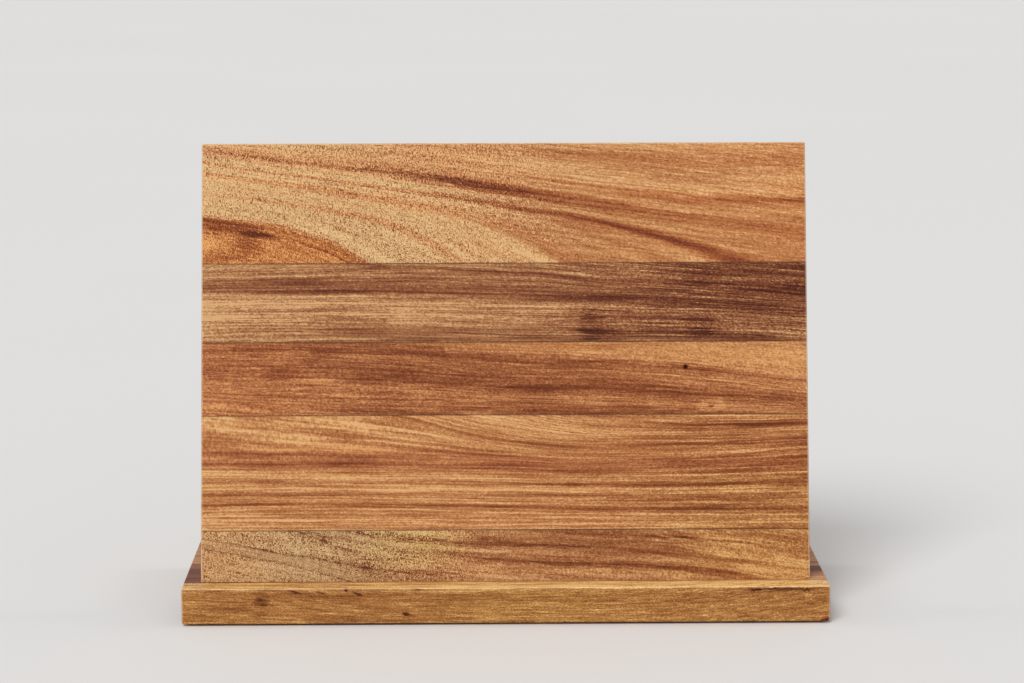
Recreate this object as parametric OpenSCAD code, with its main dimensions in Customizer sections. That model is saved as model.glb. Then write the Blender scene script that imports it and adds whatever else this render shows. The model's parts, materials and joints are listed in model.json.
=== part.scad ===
// Magnetic knife rack: a two-layer wooden board that leans back on a flat wooden base.
// Both are glued up from staves. Bar magnets and steel strips are sealed inside the board.
// Millimetres. +X is to the right, the knife face looks towards -Y, and Z = 0 is the table.

/* [Base] */
// Width of the base, left to right
base_w = 320; // [320:1:400]
// Depth of the base, front to back
base_d = 120; // [110:1:160]
// Thickness of the base
base_t = 18; // [17:0.5:25]
// Depth of the narrow stave along the front edge of the base
base_stave_front = 12; // [8:0.5:12]
// Depth of the second stave of the base
base_stave_second = 38.7; // [34:0.1:40]
// Depth of the third stave of the base
base_stave_third = 38; // [20:0.1:38]

/* [Board] */
// Width of the board, left to right
board_w = 303; // [300:1:360]
// Length of the board up its slope
board_h = 219.2; // [212:0.1:260]
// Lean of the board from upright, in degrees
lean = 13.3; // [8:0.1:14]
// Thickness of the front layer, which holds the magnets
front_t = 13; // [12.5:0.5:16]
// Thickness of the back layer
back_t = 9; // [5:0.5:14]
// Gap from the front edge of the base to the knife face
front_lip = 13.65; // [13.5:0.05:16]

/* [Staves of the board, measured up the slope] */
// Top of the bottom stave of the front layer
front_glue_1 = 25.3; // [23:0.1:27]
// Top of the lower stave of the front layer
front_glue_2 = 82.5; // [60:0.1:83]
// Top of the middle stave of the front layer
front_glue_3 = 118.9; // [118:0.1:122]
// Top of the upper stave of the front layer
front_glue_4 = 158.5; // [130:0.1:160]
// Top of the bottom stave of the back layer
back_glue_1 = 41; // [30:1:50]
// Top of the lower stave of the back layer
back_glue_2 = 77; // [60:1:85]
// Top of the middle stave of the back layer
back_glue_3 = 132; // [110:1:140]
// Top of the upper stave of the back layer
back_glue_4 = 170; // [150:1:185]

/* [Magnets] */
// Number of bar magnets in each row
magnets_per_row = 8; // [8:1:8]
// Length of one magnet, along the board
magnet_l = 30; // [20:1:31]
// Height of one magnet, up the board
magnet_h = 20; // [15:1:20]
// Thickness of one magnet
magnet_t = 7; // [5:0.5:7]
// Distance from one magnet to the next
magnet_pitch = 34; // [32:0.5:34]
// Middle of the upper row, up the slope
upper_row = 186; // [175:1:190]
// Middle of the lower row, up the slope
lower_row = 100.7; // [95:0.1:105]
// Wood left between the magnets and the knife face
skin = 3; // [2.5:0.1:3]
// Thickness of the steel strip behind each row
strip_t = 3; // [1.5:0.5:3]

/* [Fixings] */
// Diameter of the wood screws that hold the board
screw_d = 4.5; // [4:0.1:5]
// Diameter of a screw head
screw_head_d = 8.6; // [8:0.1:9]
// Distance from the middle screw to the outer ones
screw_spacing = 110; // [90:1:120]
// Diameter of the locating dowels
dowel_d = 8; // [6:1:8]
// Distance from the middle of the board to each dowel
dowel_offset = 60; // [40:1:80]
// Diameter of a foot pad
pad_d = 12; // [10:0.5:12]
// Height that a pad stands out below the base
pad_gap = 1; // [0.5:0.1:2]
// Distance from an end of the base to the middle of a pad
pad_inset_x = 18; // [14:1:25]
// Distance from the front or back of the base to the middle of a pad
pad_inset_y = 20; // [20:1:22]

/* [Hidden] */
$fn = 64;
ease = 0.8;              // chamfer on the outer wooden edges
magnet_ease = 0.4;       // chamfer on a plated magnet
strip_ease = 0.3;        // chamfer on a steel strip
pad_ease = 0.3;          // chamfer round a pad's foot
pad_recess = 1.2;        // depth that a pad is let into the base
channel_slack = 0.5;     // room for glue round the magnets and strips, on each side
fixing_w = 7.5;          // depth of the screws and dowels behind the knife face
screw_seat = -13;        // flat end of a screw head, measured up the slope
screw_cone = 2.6;        // height of the head's cone
screw_tip = 36;          // end of the screw's point
screw_point = 4;         // length of the point
thread_from = 2;         // start of the thread
thread_pitch = 2;        // distance between two turns of thread
thread_depth = 0.6;      // height of the thread
recess_d = 9.2;          // bore below a screw head
recess_cross = 4.6;      // width of the cross recess in a screw head
recess_blade = 0.9;      // thickness of one blade of the cross
recess_depth = 1.8;      // depth of the cross recess
screw_clearance = 0.15;  // radial clearance of a screw in the base
dowel_from = -9;         // lower end of a dowel
dowel_to = 21;           // upper end of a dowel
dowel_flutes = 12;       // glue grooves round a dowel
flute_r = 0.4;           // radius of a glue groove
cut = 1;                 // how far a cutting shape runs past the face it cuts

board_t = front_t + back_t;
base_top = pad_gap + base_t;
face_y = -base_d / 2 + front_lip;
row_w = magnets_per_row * magnet_pitch - (magnet_pitch - magnet_l);
channel_w = row_w + 4 * channel_slack;
channel_h = magnet_h + 2 * channel_slack;

FRONT_GLUE = [-cut, front_glue_1, front_glue_2, front_glue_3, front_glue_4, board_h + cut];
BACK_GLUE = [-cut, back_glue_1, back_glue_2, back_glue_3, back_glue_4, board_h + cut];
BASE_GLUE = [
    0, base_stave_front, base_stave_front + base_stave_second,
    base_stave_front + base_stave_second + base_stave_third, base_d
];
FRONT_COLOURS = ["peru", "sandybrown", "chocolate", "tan", "burlywood"];
BACK_COLOURS = ["burlywood", "peru", "tan", "sandybrown", "peru"];
BASE_COLOURS = ["burlywood", "sienna", "peru", "tan"];
BOARD_STAVES = ["bottom", "lower", "middle", "upper", "top"];
BASE_STAVES = ["front", "second", "third", "rear"];
SIDES = ["left", "right"];

// ---- Shared shapes ----

// Rectangle about the origin with its corners cut off.
module eased_rectangle(w, h, e) {
    polygon([
        [-w / 2 + e, -h / 2], [w / 2 - e, -h / 2], [w / 2, -h / 2 + e], [w / 2, h / 2 - e],
        [w / 2 - e, h / 2], [-w / 2 + e, h / 2], [-w / 2, h / 2 - e], [-w / 2, -h / 2 + e]
    ]);
}

// Block about the origin with all twelve edges chamfered.
module eased_block(w, d, h, e) {
    intersection() {
        linear_extrude(h, center = true) eased_rectangle(w, d, e);
        rotate([90, 0, 0]) linear_extrude(d, center = true) eased_rectangle(w, h, e);
        rotate([90, 0, 90]) linear_extrude(w, center = true) eased_rectangle(d, h, e);
    }
}

// Puts its children in the board's frame: X along the board, Y behind the knife face, Z up the slope.
module on_board() {
    translate([0, face_y, base_top]) rotate([-lean, 0, 0]) children();
}

// Puts its children at each screw, with Z along the screw.
module at_screws() {
    on_board() for (i = [-1:1]) translate([i * screw_spacing, fixing_w, 0]) children();
}

// Puts its children at each dowel, with Z along the dowel.
module at_dowels() {
    on_board() for (i = [-1, 1]) translate([i * dowel_offset, fixing_w, 0]) children();
}

// The whole board in its own frame. Its foot is cut level, so that it stands flat on the base.
module board_blank() {
    intersection() {
        rotate([90, 0, 90]) linear_extrude(board_w, center = true) polygon([
            [0, 0], [0, board_h - ease], [ease, board_h], [board_t - ease, board_h],
            [board_t, board_h - ease], [board_t, board_t * tan(lean)]
        ]);
        translate([0, board_t / 2, 0]) linear_extrude(board_h + cut)
            eased_rectangle(board_w, board_t, ease);
        rotate([90, 0, 0]) linear_extrude(4 * board_t, center = true)
            eased_rectangle(board_w, 2 * board_h, ease);
    }
}

// Part of the board between two glue lines and within one layer.
module board_stave(glue, i, layer_from, layer_to) {
    on_board() intersection() {
        board_blank();
        translate([-board_w / 2 - cut, layer_from, glue[i]])
            cube([board_w + 2 * cut, layer_to - layer_from, glue[i + 1] - glue[i]]);
    }
}

// Channel in the back of the front layer for one row of magnets and its steel strip.
module magnet_channel(row) {
    on_board() translate([-channel_w / 2, skin, row - channel_h / 2])
        cube([channel_w, front_t - skin + cut, channel_h]);
}

// Room for one screw: the bore below its head, its seat, and its shank.
module screw_bore() {
    translate([0, 0, screw_seat - 3 * base_t]) cylinder(d = recess_d, h = 3 * base_t);
    translate([0, 0, screw_seat]) cylinder(d1 = screw_head_d, d2 = screw_d, h = screw_cone);
    translate([0, 0, screw_seat]) cylinder(d = screw_d + 2 * screw_clearance, h = -screw_seat + 2);
    translate([0, 0, screw_seat]) cylinder(d = screw_d, h = screw_tip - screw_seat);
}

// Room for one dowel.
module dowel_bore() {
    translate([0, 0, dowel_from]) cylinder(d = dowel_d, h = dowel_to - dowel_from);
}

// Puts its children at the middle of a pad: sx is -1 for left, sy is -1 for front.
module at_pad(sx, sy) {
    translate([sx * (base_w / 2 - pad_inset_x), sy * (base_d / 2 - pad_inset_y), 0]) children();
}

// ---- Board ----

// One stave of the front layer, with its share of the channels and bores.
module front_stave(i) {
    color(FRONT_COLOURS[i]) difference() {
        board_stave(FRONT_GLUE, i, 0, front_t);
        magnet_channel(upper_row);
        magnet_channel(lower_row);
        at_screws() screw_bore();
        at_dowels() dowel_bore();
    }
}

// One stave of the back layer, which closes the channels.
module back_stave(i) {
    color(BACK_COLOURS[i]) board_stave(BACK_GLUE, i, front_t, board_t);
}

// ---- Base ----

// One stave of the base, counted from the front.
module base_stave(i) {
    color(BASE_COLOURS[i]) difference() {
        intersection() {
            translate([0, 0, pad_gap + base_t / 2]) eased_block(base_w, base_d, base_t, ease);
            translate([-base_w / 2 - cut, -base_d / 2 + BASE_GLUE[i], 0])
                cube([base_w + 2 * cut, BASE_GLUE[i + 1] - BASE_GLUE[i], base_top + cut]);
        }
        at_screws() screw_bore();
        at_dowels() dowel_bore();
        for (sx = [-1, 1], sy = [-1, 1])
            at_pad(sx, sy) cylinder(d = pad_d, h = pad_gap + pad_recess);
    }
}

// ---- Inside the board ----

// One nickel-plated bar magnet, counted from the left.
module magnet(row, i) {
    x = (i - (magnets_per_row - 1) / 2) * magnet_pitch;
    color("lightsteelblue") on_board() translate([x, skin + magnet_t / 2, row])
        eased_block(magnet_l, magnet_t, magnet_h, magnet_ease);
}

// Steel strip that joins the backs of one row of magnets.
module steel_strip(row) {
    color("slategray") on_board() translate([0, skin + magnet_t + strip_t / 2, row])
        eased_block(channel_w - 2 * channel_slack, strip_t, magnet_h, strip_ease);
}

// ---- Fixings ----

// Outline of the thread, right of the axis, as rings from one height to another.
function thread_rings(from, to) = [
    for (z = [from:thread_pitch:to - thread_pitch])
        each [[screw_d / 2 - thread_depth, z], [screw_d / 2, z + thread_pitch / 2]]
];

// One screw along Z: cone head with a cross recess, plain shank, thread and point.
module wood_screw() {
    point_from = screw_tip - screw_point;
    difference() {
        rotate_extrude() polygon(concat(
            [[0, screw_seat], [screw_head_d / 2, screw_seat]],
            [[screw_d / 2, screw_seat + screw_cone], [screw_d / 2, thread_from - thread_depth]],
            thread_rings(thread_from, point_from),
            [[screw_d / 2 - thread_depth, point_from], [0, screw_tip]]
        ));
        for (a = [0, 90]) rotate([0, 0, a]) translate([0, 0, screw_seat])
            cube([recess_cross, recess_blade, 2 * recess_depth], center = true);
    }
}

// The three screws that hold the board down.
module base_screws() {
    color("silver") at_screws() wood_screw();
}

// Fluted hardwood dowels that locate the board on the base.
module locating_dowels() {
    color("wheat") at_dowels() difference() {
        translate([0, 0, dowel_from]) cylinder(d = dowel_d, h = dowel_to - dowel_from);
        for (i = [1:dowel_flutes]) rotate([0, 0, i * 360 / dowel_flutes])
            translate([dowel_d / 2, 0, dowel_from - cut])
                cylinder(r = flute_r, h = dowel_to - dowel_from + 2 * cut, $fn = 16);
    }
}

// One soft pad, let into the underside of the base.
module foot_pad(sx, sy) {
    color("dimgray") at_pad(sx, sy) union() {
        cylinder(d1 = pad_d - 2 * pad_ease, d2 = pad_d, h = pad_ease);
        translate([0, 0, pad_ease]) cylinder(d = pad_d, h = pad_gap + pad_recess - pad_ease);
    }
}

// ---- Nodes ----

for (i = [0:4]) front_stave(i);
for (i = [0:4]) back_stave(i);
for (i = [0:3]) base_stave(i);
for (i = [1:magnets_per_row])
    magnet(upper_row, i - 1);
for (i = [1:magnets_per_row])
    magnet(lower_row, i - 1);
steel_strip(upper_row);  // upper_steel_strip
steel_strip(lower_row);  // lower_steel_strip
locating_dowels();
base_screws();
for (i = [0, 1]) foot_pad(2 * i - 1, -1);
for (i = [0, 1]) foot_pad(2 * i - 1, 1);
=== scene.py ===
"""Looks of the knife magnetic rack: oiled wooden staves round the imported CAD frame, and plain studio light.

Lengths are in millimetres where a name says mm, or where the text says so, and in metres elsewhere.
The board has its own frame: u to the right, v up the slope, w into the board from the knife face.
The base has the same three letters: u to the right, v to the rear from its front edge, w up from the table.
"""

import json
import math

import bmesh
import bpy
from mathutils import Matrix, Vector, noise


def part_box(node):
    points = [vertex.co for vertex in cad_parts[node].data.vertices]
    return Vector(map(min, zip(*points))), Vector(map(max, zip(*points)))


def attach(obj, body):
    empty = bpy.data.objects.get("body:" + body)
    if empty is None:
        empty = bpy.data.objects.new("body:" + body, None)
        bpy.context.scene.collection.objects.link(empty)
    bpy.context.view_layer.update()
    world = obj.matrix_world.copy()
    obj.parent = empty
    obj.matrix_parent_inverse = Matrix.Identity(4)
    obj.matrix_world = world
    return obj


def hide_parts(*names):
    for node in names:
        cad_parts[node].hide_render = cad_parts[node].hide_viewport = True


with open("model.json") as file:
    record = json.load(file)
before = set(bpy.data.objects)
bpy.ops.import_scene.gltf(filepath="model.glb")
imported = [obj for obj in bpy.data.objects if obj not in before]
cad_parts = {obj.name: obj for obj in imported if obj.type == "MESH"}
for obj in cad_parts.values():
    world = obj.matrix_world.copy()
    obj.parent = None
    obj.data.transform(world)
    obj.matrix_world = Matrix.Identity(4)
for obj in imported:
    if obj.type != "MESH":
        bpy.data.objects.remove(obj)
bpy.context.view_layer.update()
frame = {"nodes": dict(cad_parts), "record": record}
MM = 0.001

# ---- Places, read from the frame ----

MOUNTS = {mount["name"]: mount for mount in frame["record"]["mounts"]}
FACE_AXIS = Vector(MOUNTS["knife_face"]["axis"])
LEAN = math.atan2(FACE_AXIS.z, -FACE_AXIS.y)
BASE_LOW, BASE_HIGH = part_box("base_stave_front")
BOARD_FOOT = Vector((0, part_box("front_stave_bottom")[0].y, BASE_HIGH.z))
BASE_CORNER = Vector((0, BASE_LOW.y, 0))
BOARD_TURN = Matrix.Rotation(-LEAN, 3, "X")
# Columns are the directions of u, v and w.
BOARD_AXES = BOARD_TURN @ Matrix(((1, 0, 0), (0, 0, 1), (0, 1, 0)))
BASE_AXES = Matrix.Identity(3)


class Place:
    """A frame for one group of staves: u, v and w in millimetres, to the row frame in metres and back."""

    def __init__(self, origin, axes):
        self.origin = origin
        self.axes = axes

    def point(self, uvw):
        return self.origin + self.axes @ (Vector(uvw) * MM)

    def uvw(self, point):
        return (self.axes.transposed() @ (Vector(point) - self.origin)) / MM

    def limits(self, node):
        """Lowest and highest u, v and w of a CAD node."""
        points = [self.uvw(vertex.co) for vertex in frame["nodes"][node].data.vertices]
        low = Vector([min(p[i] for p in points) for i in range(3)])
        high = Vector([max(p[i] for p in points) for i in range(3)])
        return low, high


BOARD = Place(BOARD_FOOT, BOARD_AXES)
BASE = Place(BASE_CORNER, BASE_AXES)


# ---- Node-tree shorthand ----


class Wire:
    """A node's output. Sums, products and so on of wires and numbers make the maths nodes they need."""

    def __init__(self, shader, socket):
        self.shader = shader
        self.socket = socket

    def __add__(self, other):
        return self.shader.math("ADD", self, other)

    def __radd__(self, other):
        return self.shader.math("ADD", other, self)

    def __sub__(self, other):
        return self.shader.math("SUBTRACT", self, other)

    def __rsub__(self, other):
        return self.shader.math("SUBTRACT", other, self)

    def __mul__(self, other):
        return self.shader.math("MULTIPLY", self, other)

    def __rmul__(self, other):
        return self.shader.math("MULTIPLY", other, self)

    def __truediv__(self, other):
        return self.shader.math("DIVIDE", self, other)

    def size(self):
        return self.shader.math("ABSOLUTE", self)

    def exp(self):
        return self.shader.math("EXPONENT", self)

    def below(self, other):
        """The smaller of the two."""
        return self.shader.math("MINIMUM", self, other)

    def above(self, other):
        """The larger of the two."""
        return self.shader.math("MAXIMUM", self, other)

    def rise(self, start, end):
        """Goes smoothly from 0 at start to 1 at end. End may be the lower of the two."""
        return self.shader.remap(self, start, end, 0, 1, "SMOOTHSTEP")

    def slide(self, start, end, low=0, high=1):
        """Goes straight from low at start to high at end, and stays there."""
        return self.shader.remap(self, start, end, low, high, "LINEAR")


class Shader:
    """Builds one material's node tree."""

    def __init__(self, name):
        self.material = bpy.data.materials.new(name)
        self.material.use_nodes = True
        self.tree = self.material.node_tree
        self.tree.nodes.clear()

    def node(self, kind, **settings):
        made = self.tree.nodes.new(kind)
        for key, value in settings.items():
            setattr(made, key, value)
        return made

    def feed(self, socket, value):
        if isinstance(value, Wire):
            self.tree.links.new(value.socket, socket)
        else:
            socket.default_value = value

    def math(self, operation, *values):
        made = self.node("ShaderNodeMath", operation=operation)
        for socket, value in zip(made.inputs, values):
            self.feed(socket, value)
        return Wire(self, made.outputs[0])

    def remap(self, value, start, end, low, high, kind):
        made = self.node("ShaderNodeMapRange", interpolation_type=kind, clamp=True)
        for socket, given in zip(made.inputs, (value, start, end, low, high)):
            self.feed(socket, given)
        return Wire(self, made.outputs[0])

    def vector(self, x, y, z):
        made = self.node("ShaderNodeCombineXYZ")
        for socket, value in zip(made.inputs, (x, y, z)):
            self.feed(socket, value)
        return Wire(self, made.outputs[0])

    def curve(self, x, points):
        """Smooth curve through the points, as a function of x. It stays level past both ends."""
        xs = [point[0] for point in points]
        ys = [point[1] for point in points]
        x_span = max(xs) - min(xs)
        y_span = max(max(ys) - min(ys), 1e-6)
        made = self.node("ShaderNodeFloatCurve")
        made.mapping.use_clip = False
        made.mapping.extend = "HORIZONTAL"
        line = made.mapping.curves[0]
        while len(line.points) < len(points):
            line.points.new(0.5, 0.5)
        for knot, (px, py) in zip(line.points, points):
            knot.location = ((px - min(xs)) / x_span, (py - min(ys)) / y_span)
            knot.handle_type = "AUTO_CLAMPED"
        made.mapping.update()
        self.feed(made.inputs["Factor"], 1.0)
        self.feed(made.inputs["Value"], (x - min(xs)) / x_span)
        return Wire(self, made.outputs[0]) * y_span + min(ys)

    def noise(self, place, detail=3.0, roughness=0.55):
        """Cloudy noise about 0, mostly within -0.5 and 0.5. The place carries its scale."""
        made = self.node("ShaderNodeTexNoise", noise_dimensions="3D")
        self.feed(made.inputs["Vector"], place)
        self.feed(made.inputs["Scale"], 1.0)
        self.feed(made.inputs["Detail"], detail)
        self.feed(made.inputs["Roughness"], roughness)
        return Wire(self, made.outputs[0]) - 0.5

    def ramp(self, factor, stops):
        """Colour from a list of (place, colour), blended in between."""
        made = self.node("ShaderNodeValToRGB")
        elements = made.color_ramp.elements
        while len(elements) < len(stops):
            elements.new(1.0)
        for element, (place, colour) in zip(elements, stops):
            element.position = place
            element.color = (*colour, 1)
        self.feed(made.inputs[0], factor)
        return Wire(self, made.outputs[0])

    def blend(self, factor, first, second, kind="MIX"):
        """Colour that goes from first to second as factor goes from 0 to 1."""
        made = self.node("ShaderNodeMix", data_type="RGBA", blend_type=kind, clamp_factor=True)
        colours = [socket for socket in made.inputs if socket.type == "RGBA"]
        self.feed(made.inputs[0], factor)
        for socket, value in zip(colours, (first, second)):
            self.feed(socket, value if isinstance(value, Wire) else (*value, 1))
        outputs = [socket for socket in made.outputs if socket.type == "RGBA"]
        return Wire(self, outputs[0])

    def object_place(self, place):
        """u, v and w in millimetres in one of the two frames."""
        source = Wire(self, self.node("ShaderNodeTexCoord").outputs["Object"])
        wires = []
        for axis in range(3):
            direction = place.axes.col[axis] / MM
            made = self.node("ShaderNodeVectorMath", operation="DOT_PRODUCT")
            self.feed(made.inputs[0], source)
            self.feed(made.inputs[1], direction)
            wires.append(Wire(self, made.outputs["Value"]) - direction.dot(place.origin))
        return wires

    def along(self, direction):
        """How far the surface faces along a direction: 1 when it faces straight along it or against it."""
        made = self.node("ShaderNodeVectorMath", operation="DOT_PRODUCT")
        self.tree.links.new(self.node("ShaderNodeNewGeometry").outputs["True Normal"], made.inputs[0])
        self.feed(made.inputs[1], direction)
        return Wire(self, made.outputs["Value"]).size()

    def finish(self, colour, roughness, height=None, depth_mm=0.05, metal=0.0, gloss=0.5):
        """Joins the surface up. Height is a relief from 0 to 1, and depth_mm is how deep it is."""
        surface = self.node("ShaderNodeBsdfPrincipled")
        self.feed(surface.inputs["Base Color"], colour)
        self.feed(surface.inputs["Roughness"], roughness)
        self.feed(surface.inputs["Metallic"], metal)
        self.feed(surface.inputs["Specular IOR Level"], gloss)
        if height is not None:
            bump = self.node("ShaderNodeBump")
            self.feed(bump.inputs["Strength"], 1.0)
            self.feed(bump.inputs["Distance"], depth_mm * MM)
            self.feed(bump.inputs["Height"], height)
            self.tree.links.new(bump.outputs[0], surface.inputs["Normal"])
        output = self.node("ShaderNodeOutputMaterial")
        self.tree.links.new(surface.outputs[0], output.inputs["Surface"])
        return self.material


# ---- Staves as meshes ----

EDGE_MM = 0.9  # radius of the sanded outer edges
EDGE_STEPS = 4  # facets in each quarter round, in each of its two halves
SPAN_MM = 6.0  # longest stretch of a stave between two mesh lines
WEAR_MM = 0.09  # deepest hand-sanded unevenness
WEAR_SPAN_MM = 17  # distance between one sanded hollow and the next
SHARP_DEGREES = 35  # bends sharper than this stay crisp
PEBBLE_SWELL = 0.25  # how uneven a knot hole or a chip is, as a share of its size
PEBBLE_BUMPS = 1.7  # bumps on it, for each radius


def mesh_lines(low, high, ease_low, ease_high):
    """Places of the mesh lines along one axis: close together over an eased edge, even in between."""
    turns = [math.radians(45 * step / EDGE_STEPS) for step in range(EDGE_STEPS + 1)]
    eased = [EDGE_MM * (1 - math.tan(turn)) for turn in turns]
    start = sorted(low + offset for offset in eased) if ease_low else [low]
    end = sorted(high - offset for offset in eased) if ease_high else [high]
    count = max(1, math.ceil((end[0] - start[-1]) / SPAN_MM))
    middle = [start[-1] + (end[0] - start[-1]) * step / count for step in range(1, count)]
    return start + middle + end


def rounded(point, low, high, ease_low, ease_high):
    """Moves a point of the block's surface onto its eased edge. Also says which way the surface faces."""
    inner_low = [low[i] + EDGE_MM * ease_low[i] for i in range(3)]
    inner_high = [high[i] - EDGE_MM * ease_high[i] for i in range(3)]
    core = Vector([min(max(point[i], inner_low[i]), inner_high[i]) for i in range(3)])
    out = point - core
    if out.length < 1e-6:
        return point, Vector((0, 0, 0))
    return core + out.normalized() * EDGE_MM, out.normalized()


def stave_mesh(name, low, high, ease_low, ease_high, place):
    """A block between two corners, with eased outer edges and a slightly uneven hand-sanded surface.

    ease_low and ease_high say, for u, v and w, whether the low and the high side is an outer one.
    """
    lines = [mesh_lines(low[i], high[i], ease_low[i], ease_high[i]) for i in range(3)]
    last = [len(line) - 1 for line in lines]
    mesh = bmesh.new()
    made = {}

    def vertex(index):
        if index not in made:
            point = Vector([lines[i][index[i]] for i in range(3)])
            point, out = rounded(point, low, high, ease_low, ease_high)
            dent = 0.5 + 0.5 * noise.noise(point / WEAR_SPAN_MM + Vector((low[1], 0, 0)))
            point = point - out * dent * WEAR_MM
            made[index] = mesh.verts.new(place.point(point))
        return made[index]

    for axis in range(3):
        first, second = [i for i in range(3) if i != axis]
        for side in (0, last[axis]):
            for i in range(last[first]):
                for j in range(last[second]):
                    corners = []
                    for di, dj in ((0, 0), (1, 0), (1, 1), (0, 1)):
                        index = [0, 0, 0]
                        index[axis] = side
                        index[first] = i + di
                        index[second] = j + dj
                        corners.append(vertex(tuple(index)))
                    mesh.faces.new(corners)
    bmesh.ops.recalc_face_normals(mesh, faces=mesh.faces)
    return piece_from(name, mesh)


def piece_from(name, mesh):
    """Makes an object from a bmesh."""
    data = bpy.data.meshes.new(name)
    mesh.to_mesh(data)
    mesh.free()
    piece = bpy.data.objects.new(name, data)
    bpy.context.scene.collection.objects.link(piece)
    return piece


def box_cutter(low, high, place):
    """Plain block between two corners, for cutting a channel."""
    mesh = bmesh.new()
    bmesh.ops.create_cube(mesh, size=1)
    for vertex in mesh.verts:
        corner = [low[i] + (vertex.co[i] + 0.5) * (high[i] - low[i]) for i in range(3)]
        vertex.co = place.point(corner)
    bmesh.ops.recalc_face_normals(mesh, faces=mesh.faces)
    return piece_from("cutter", mesh)


def rod_cutter(start, end, radius, place, sides=32, end_radius=None):
    """Round rod between two points given as u, v and w, for cutting a bore."""
    start = place.point(start)
    axis = place.point(end) - start
    mesh = bmesh.new()
    far_radius = radius if end_radius is None else end_radius
    bmesh.ops.create_cone(mesh, cap_ends=True, segments=sides, radius1=radius * MM, radius2=far_radius * MM,
                          depth=axis.length)
    turn = axis.to_track_quat("Z", "Y").to_matrix().to_4x4()
    mesh.transform(Matrix.Translation(start + axis / 2) @ turn)
    bmesh.ops.recalc_face_normals(mesh, faces=mesh.faces)
    return piece_from("cutter", mesh)


def pebble_cutter(centre, sizes, place, seed):
    """Small uneven ellipsoid, for a knot hole, a chip or a crack."""
    mesh = bmesh.new()
    bmesh.ops.create_icosphere(mesh, subdivisions=3, radius=1)
    for vertex in mesh.verts:
        swell = 1 + PEBBLE_SWELL * noise.noise(vertex.co * PEBBLE_BUMPS + Vector((seed, 0, 0)))
        offset = [vertex.co[i] * sizes[i] * swell for i in range(3)]
        vertex.co = place.point([centre[i] + offset[i] for i in range(3)])
    bmesh.ops.recalc_face_normals(mesh, faces=mesh.faces)
    return piece_from("cutter", mesh)


def cut_away(piece, cutters):
    """Cuts every cutter out of the piece and removes the cutters."""
    for cutter in cutters:
        modifier = piece.modifiers.new("cut", "BOOLEAN")
        modifier.operation = "DIFFERENCE"
        modifier.solver = "EXACT"
        modifier.object = cutter
        bpy.context.view_layer.update()
        graph = bpy.context.evaluated_depsgraph_get()
        result = bpy.data.meshes.new_from_object(piece.evaluated_get(graph))
        piece.modifiers.clear()
        piece.data = result
        bpy.data.objects.remove(cutter)
    return piece


def settle(piece, node, material):
    """Gives a stave its material, and lets it stand for its CAD node."""
    piece.name = node + "_wood"
    piece.data.materials.clear()
    piece.data.materials.append(material)
    piece.data.shade_smooth()
    bpy.context.view_layer.objects.active = piece
    piece.data.set_sharp_from_angle(angle=math.radians(SHARP_DEGREES))
    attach(piece, "root")
    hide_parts(node)


# ---- Wood ----
# A stave's figure is a tone: 0 is near black and 1 near white, in step with the brightness of the wood.
# Its palette then turns tone into colour. Where a stave's function gives plain numbers, they are lengths
# in millimetres, shares of tone, seeds of noise, and the strengths at which layers are mixed.

BOARD_HALF, BOARD_TOP = BOARD.limits("front_stave_top")[1][:2]
BASE_HALF = BASE.limits("base_stave_front")[1][0]
BASE_THICK = BASE.limits("base_stave_front")[1][2]
BOARD_UP = tuple(BOARD_AXES.col[1])
SIDEWAYS = (1, 0, 0)
GLUE_COLOUR = (0.09, 0.04, 0.022)
# Colour of the painted pale highlight on the eased outer edges.
EDGE_HIGHLIGHT_COLOUR = (0.9, 0.72, 0.5)
END_GRAIN_COLOUR = (0.17, 0.07, 0.03)

PALETTES = {
    "straw": ((0.0, (0.05, 0.014, 0.008)), (0.13, (0.2, 0.055, 0.02)), (0.25, (0.36, 0.13, 0.046)),
              (0.38, (0.5, 0.24, 0.09)), (0.55, (0.6, 0.32, 0.135)), (0.67, (0.67, 0.395, 0.172)),
              (0.9, (0.83, 0.545, 0.256))),
    "ember": ((0.0, (0.05, 0.012, 0.006)), (0.1, (0.157, 0.036, 0.016)), (0.19, (0.3, 0.078, 0.026)),
              (0.29, (0.424, 0.137, 0.044)), (0.43, (0.55, 0.21, 0.072)), (0.56, (0.67, 0.292, 0.108)),
              (0.8, (0.82, 0.46, 0.2))),
    "walnut": ((0.0, (0.03, 0.01, 0.007)), (0.05, (0.085, 0.022, 0.011)), (0.14, (0.193, 0.066, 0.03)),
               (0.27, (0.327, 0.138, 0.059)), (0.45, (0.493, 0.247, 0.108)), (0.72, (0.708, 0.426, 0.205))),
    "russet": ((0.0, (0.04, 0.01, 0.006)), (0.12, (0.191, 0.05, 0.018)), (0.205, (0.297, 0.094, 0.036)),
               (0.29, (0.39, 0.142, 0.055)), (0.43, (0.526, 0.224, 0.089)), (0.64, (0.713, 0.353, 0.143))),
    "amber": ((0.0, (0.04, 0.01, 0.006)), (0.13, (0.215, 0.056, 0.018)), (0.255, (0.358, 0.121, 0.042)),
              (0.38, (0.477, 0.195, 0.073)), (0.53, (0.612, 0.292, 0.117)), (0.76, (0.778, 0.441, 0.199))),
    "olive": ((0.0, (0.04, 0.012, 0.006)), (0.12, (0.186, 0.055, 0.018)), (0.23, (0.301, 0.116, 0.042)),
              (0.37, (0.431, 0.2, 0.076)), (0.52, (0.554, 0.299, 0.124)), (0.78, (0.719, 0.469, 0.222))),
    # The top stop of bark, at 1.0, is there for the painted light on the base's top side.
    "bark": ((0.0, (0.03, 0.01, 0.006)), (0.12, (0.17, 0.052, 0.015)), (0.22, (0.29, 0.108, 0.03)),
             (0.33, (0.39, 0.165, 0.047)), (0.48, (0.52, 0.25, 0.08)), (0.7, (0.68, 0.37, 0.13)),
             (1.0, (0.96, 0.63, 0.26))),
}


def streak(height, half_width, strength):
    """Soft band along the grain. Height is measured from the band's middle line."""
    return height.size().rise(half_width * 1.45, 0) * strength


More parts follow.
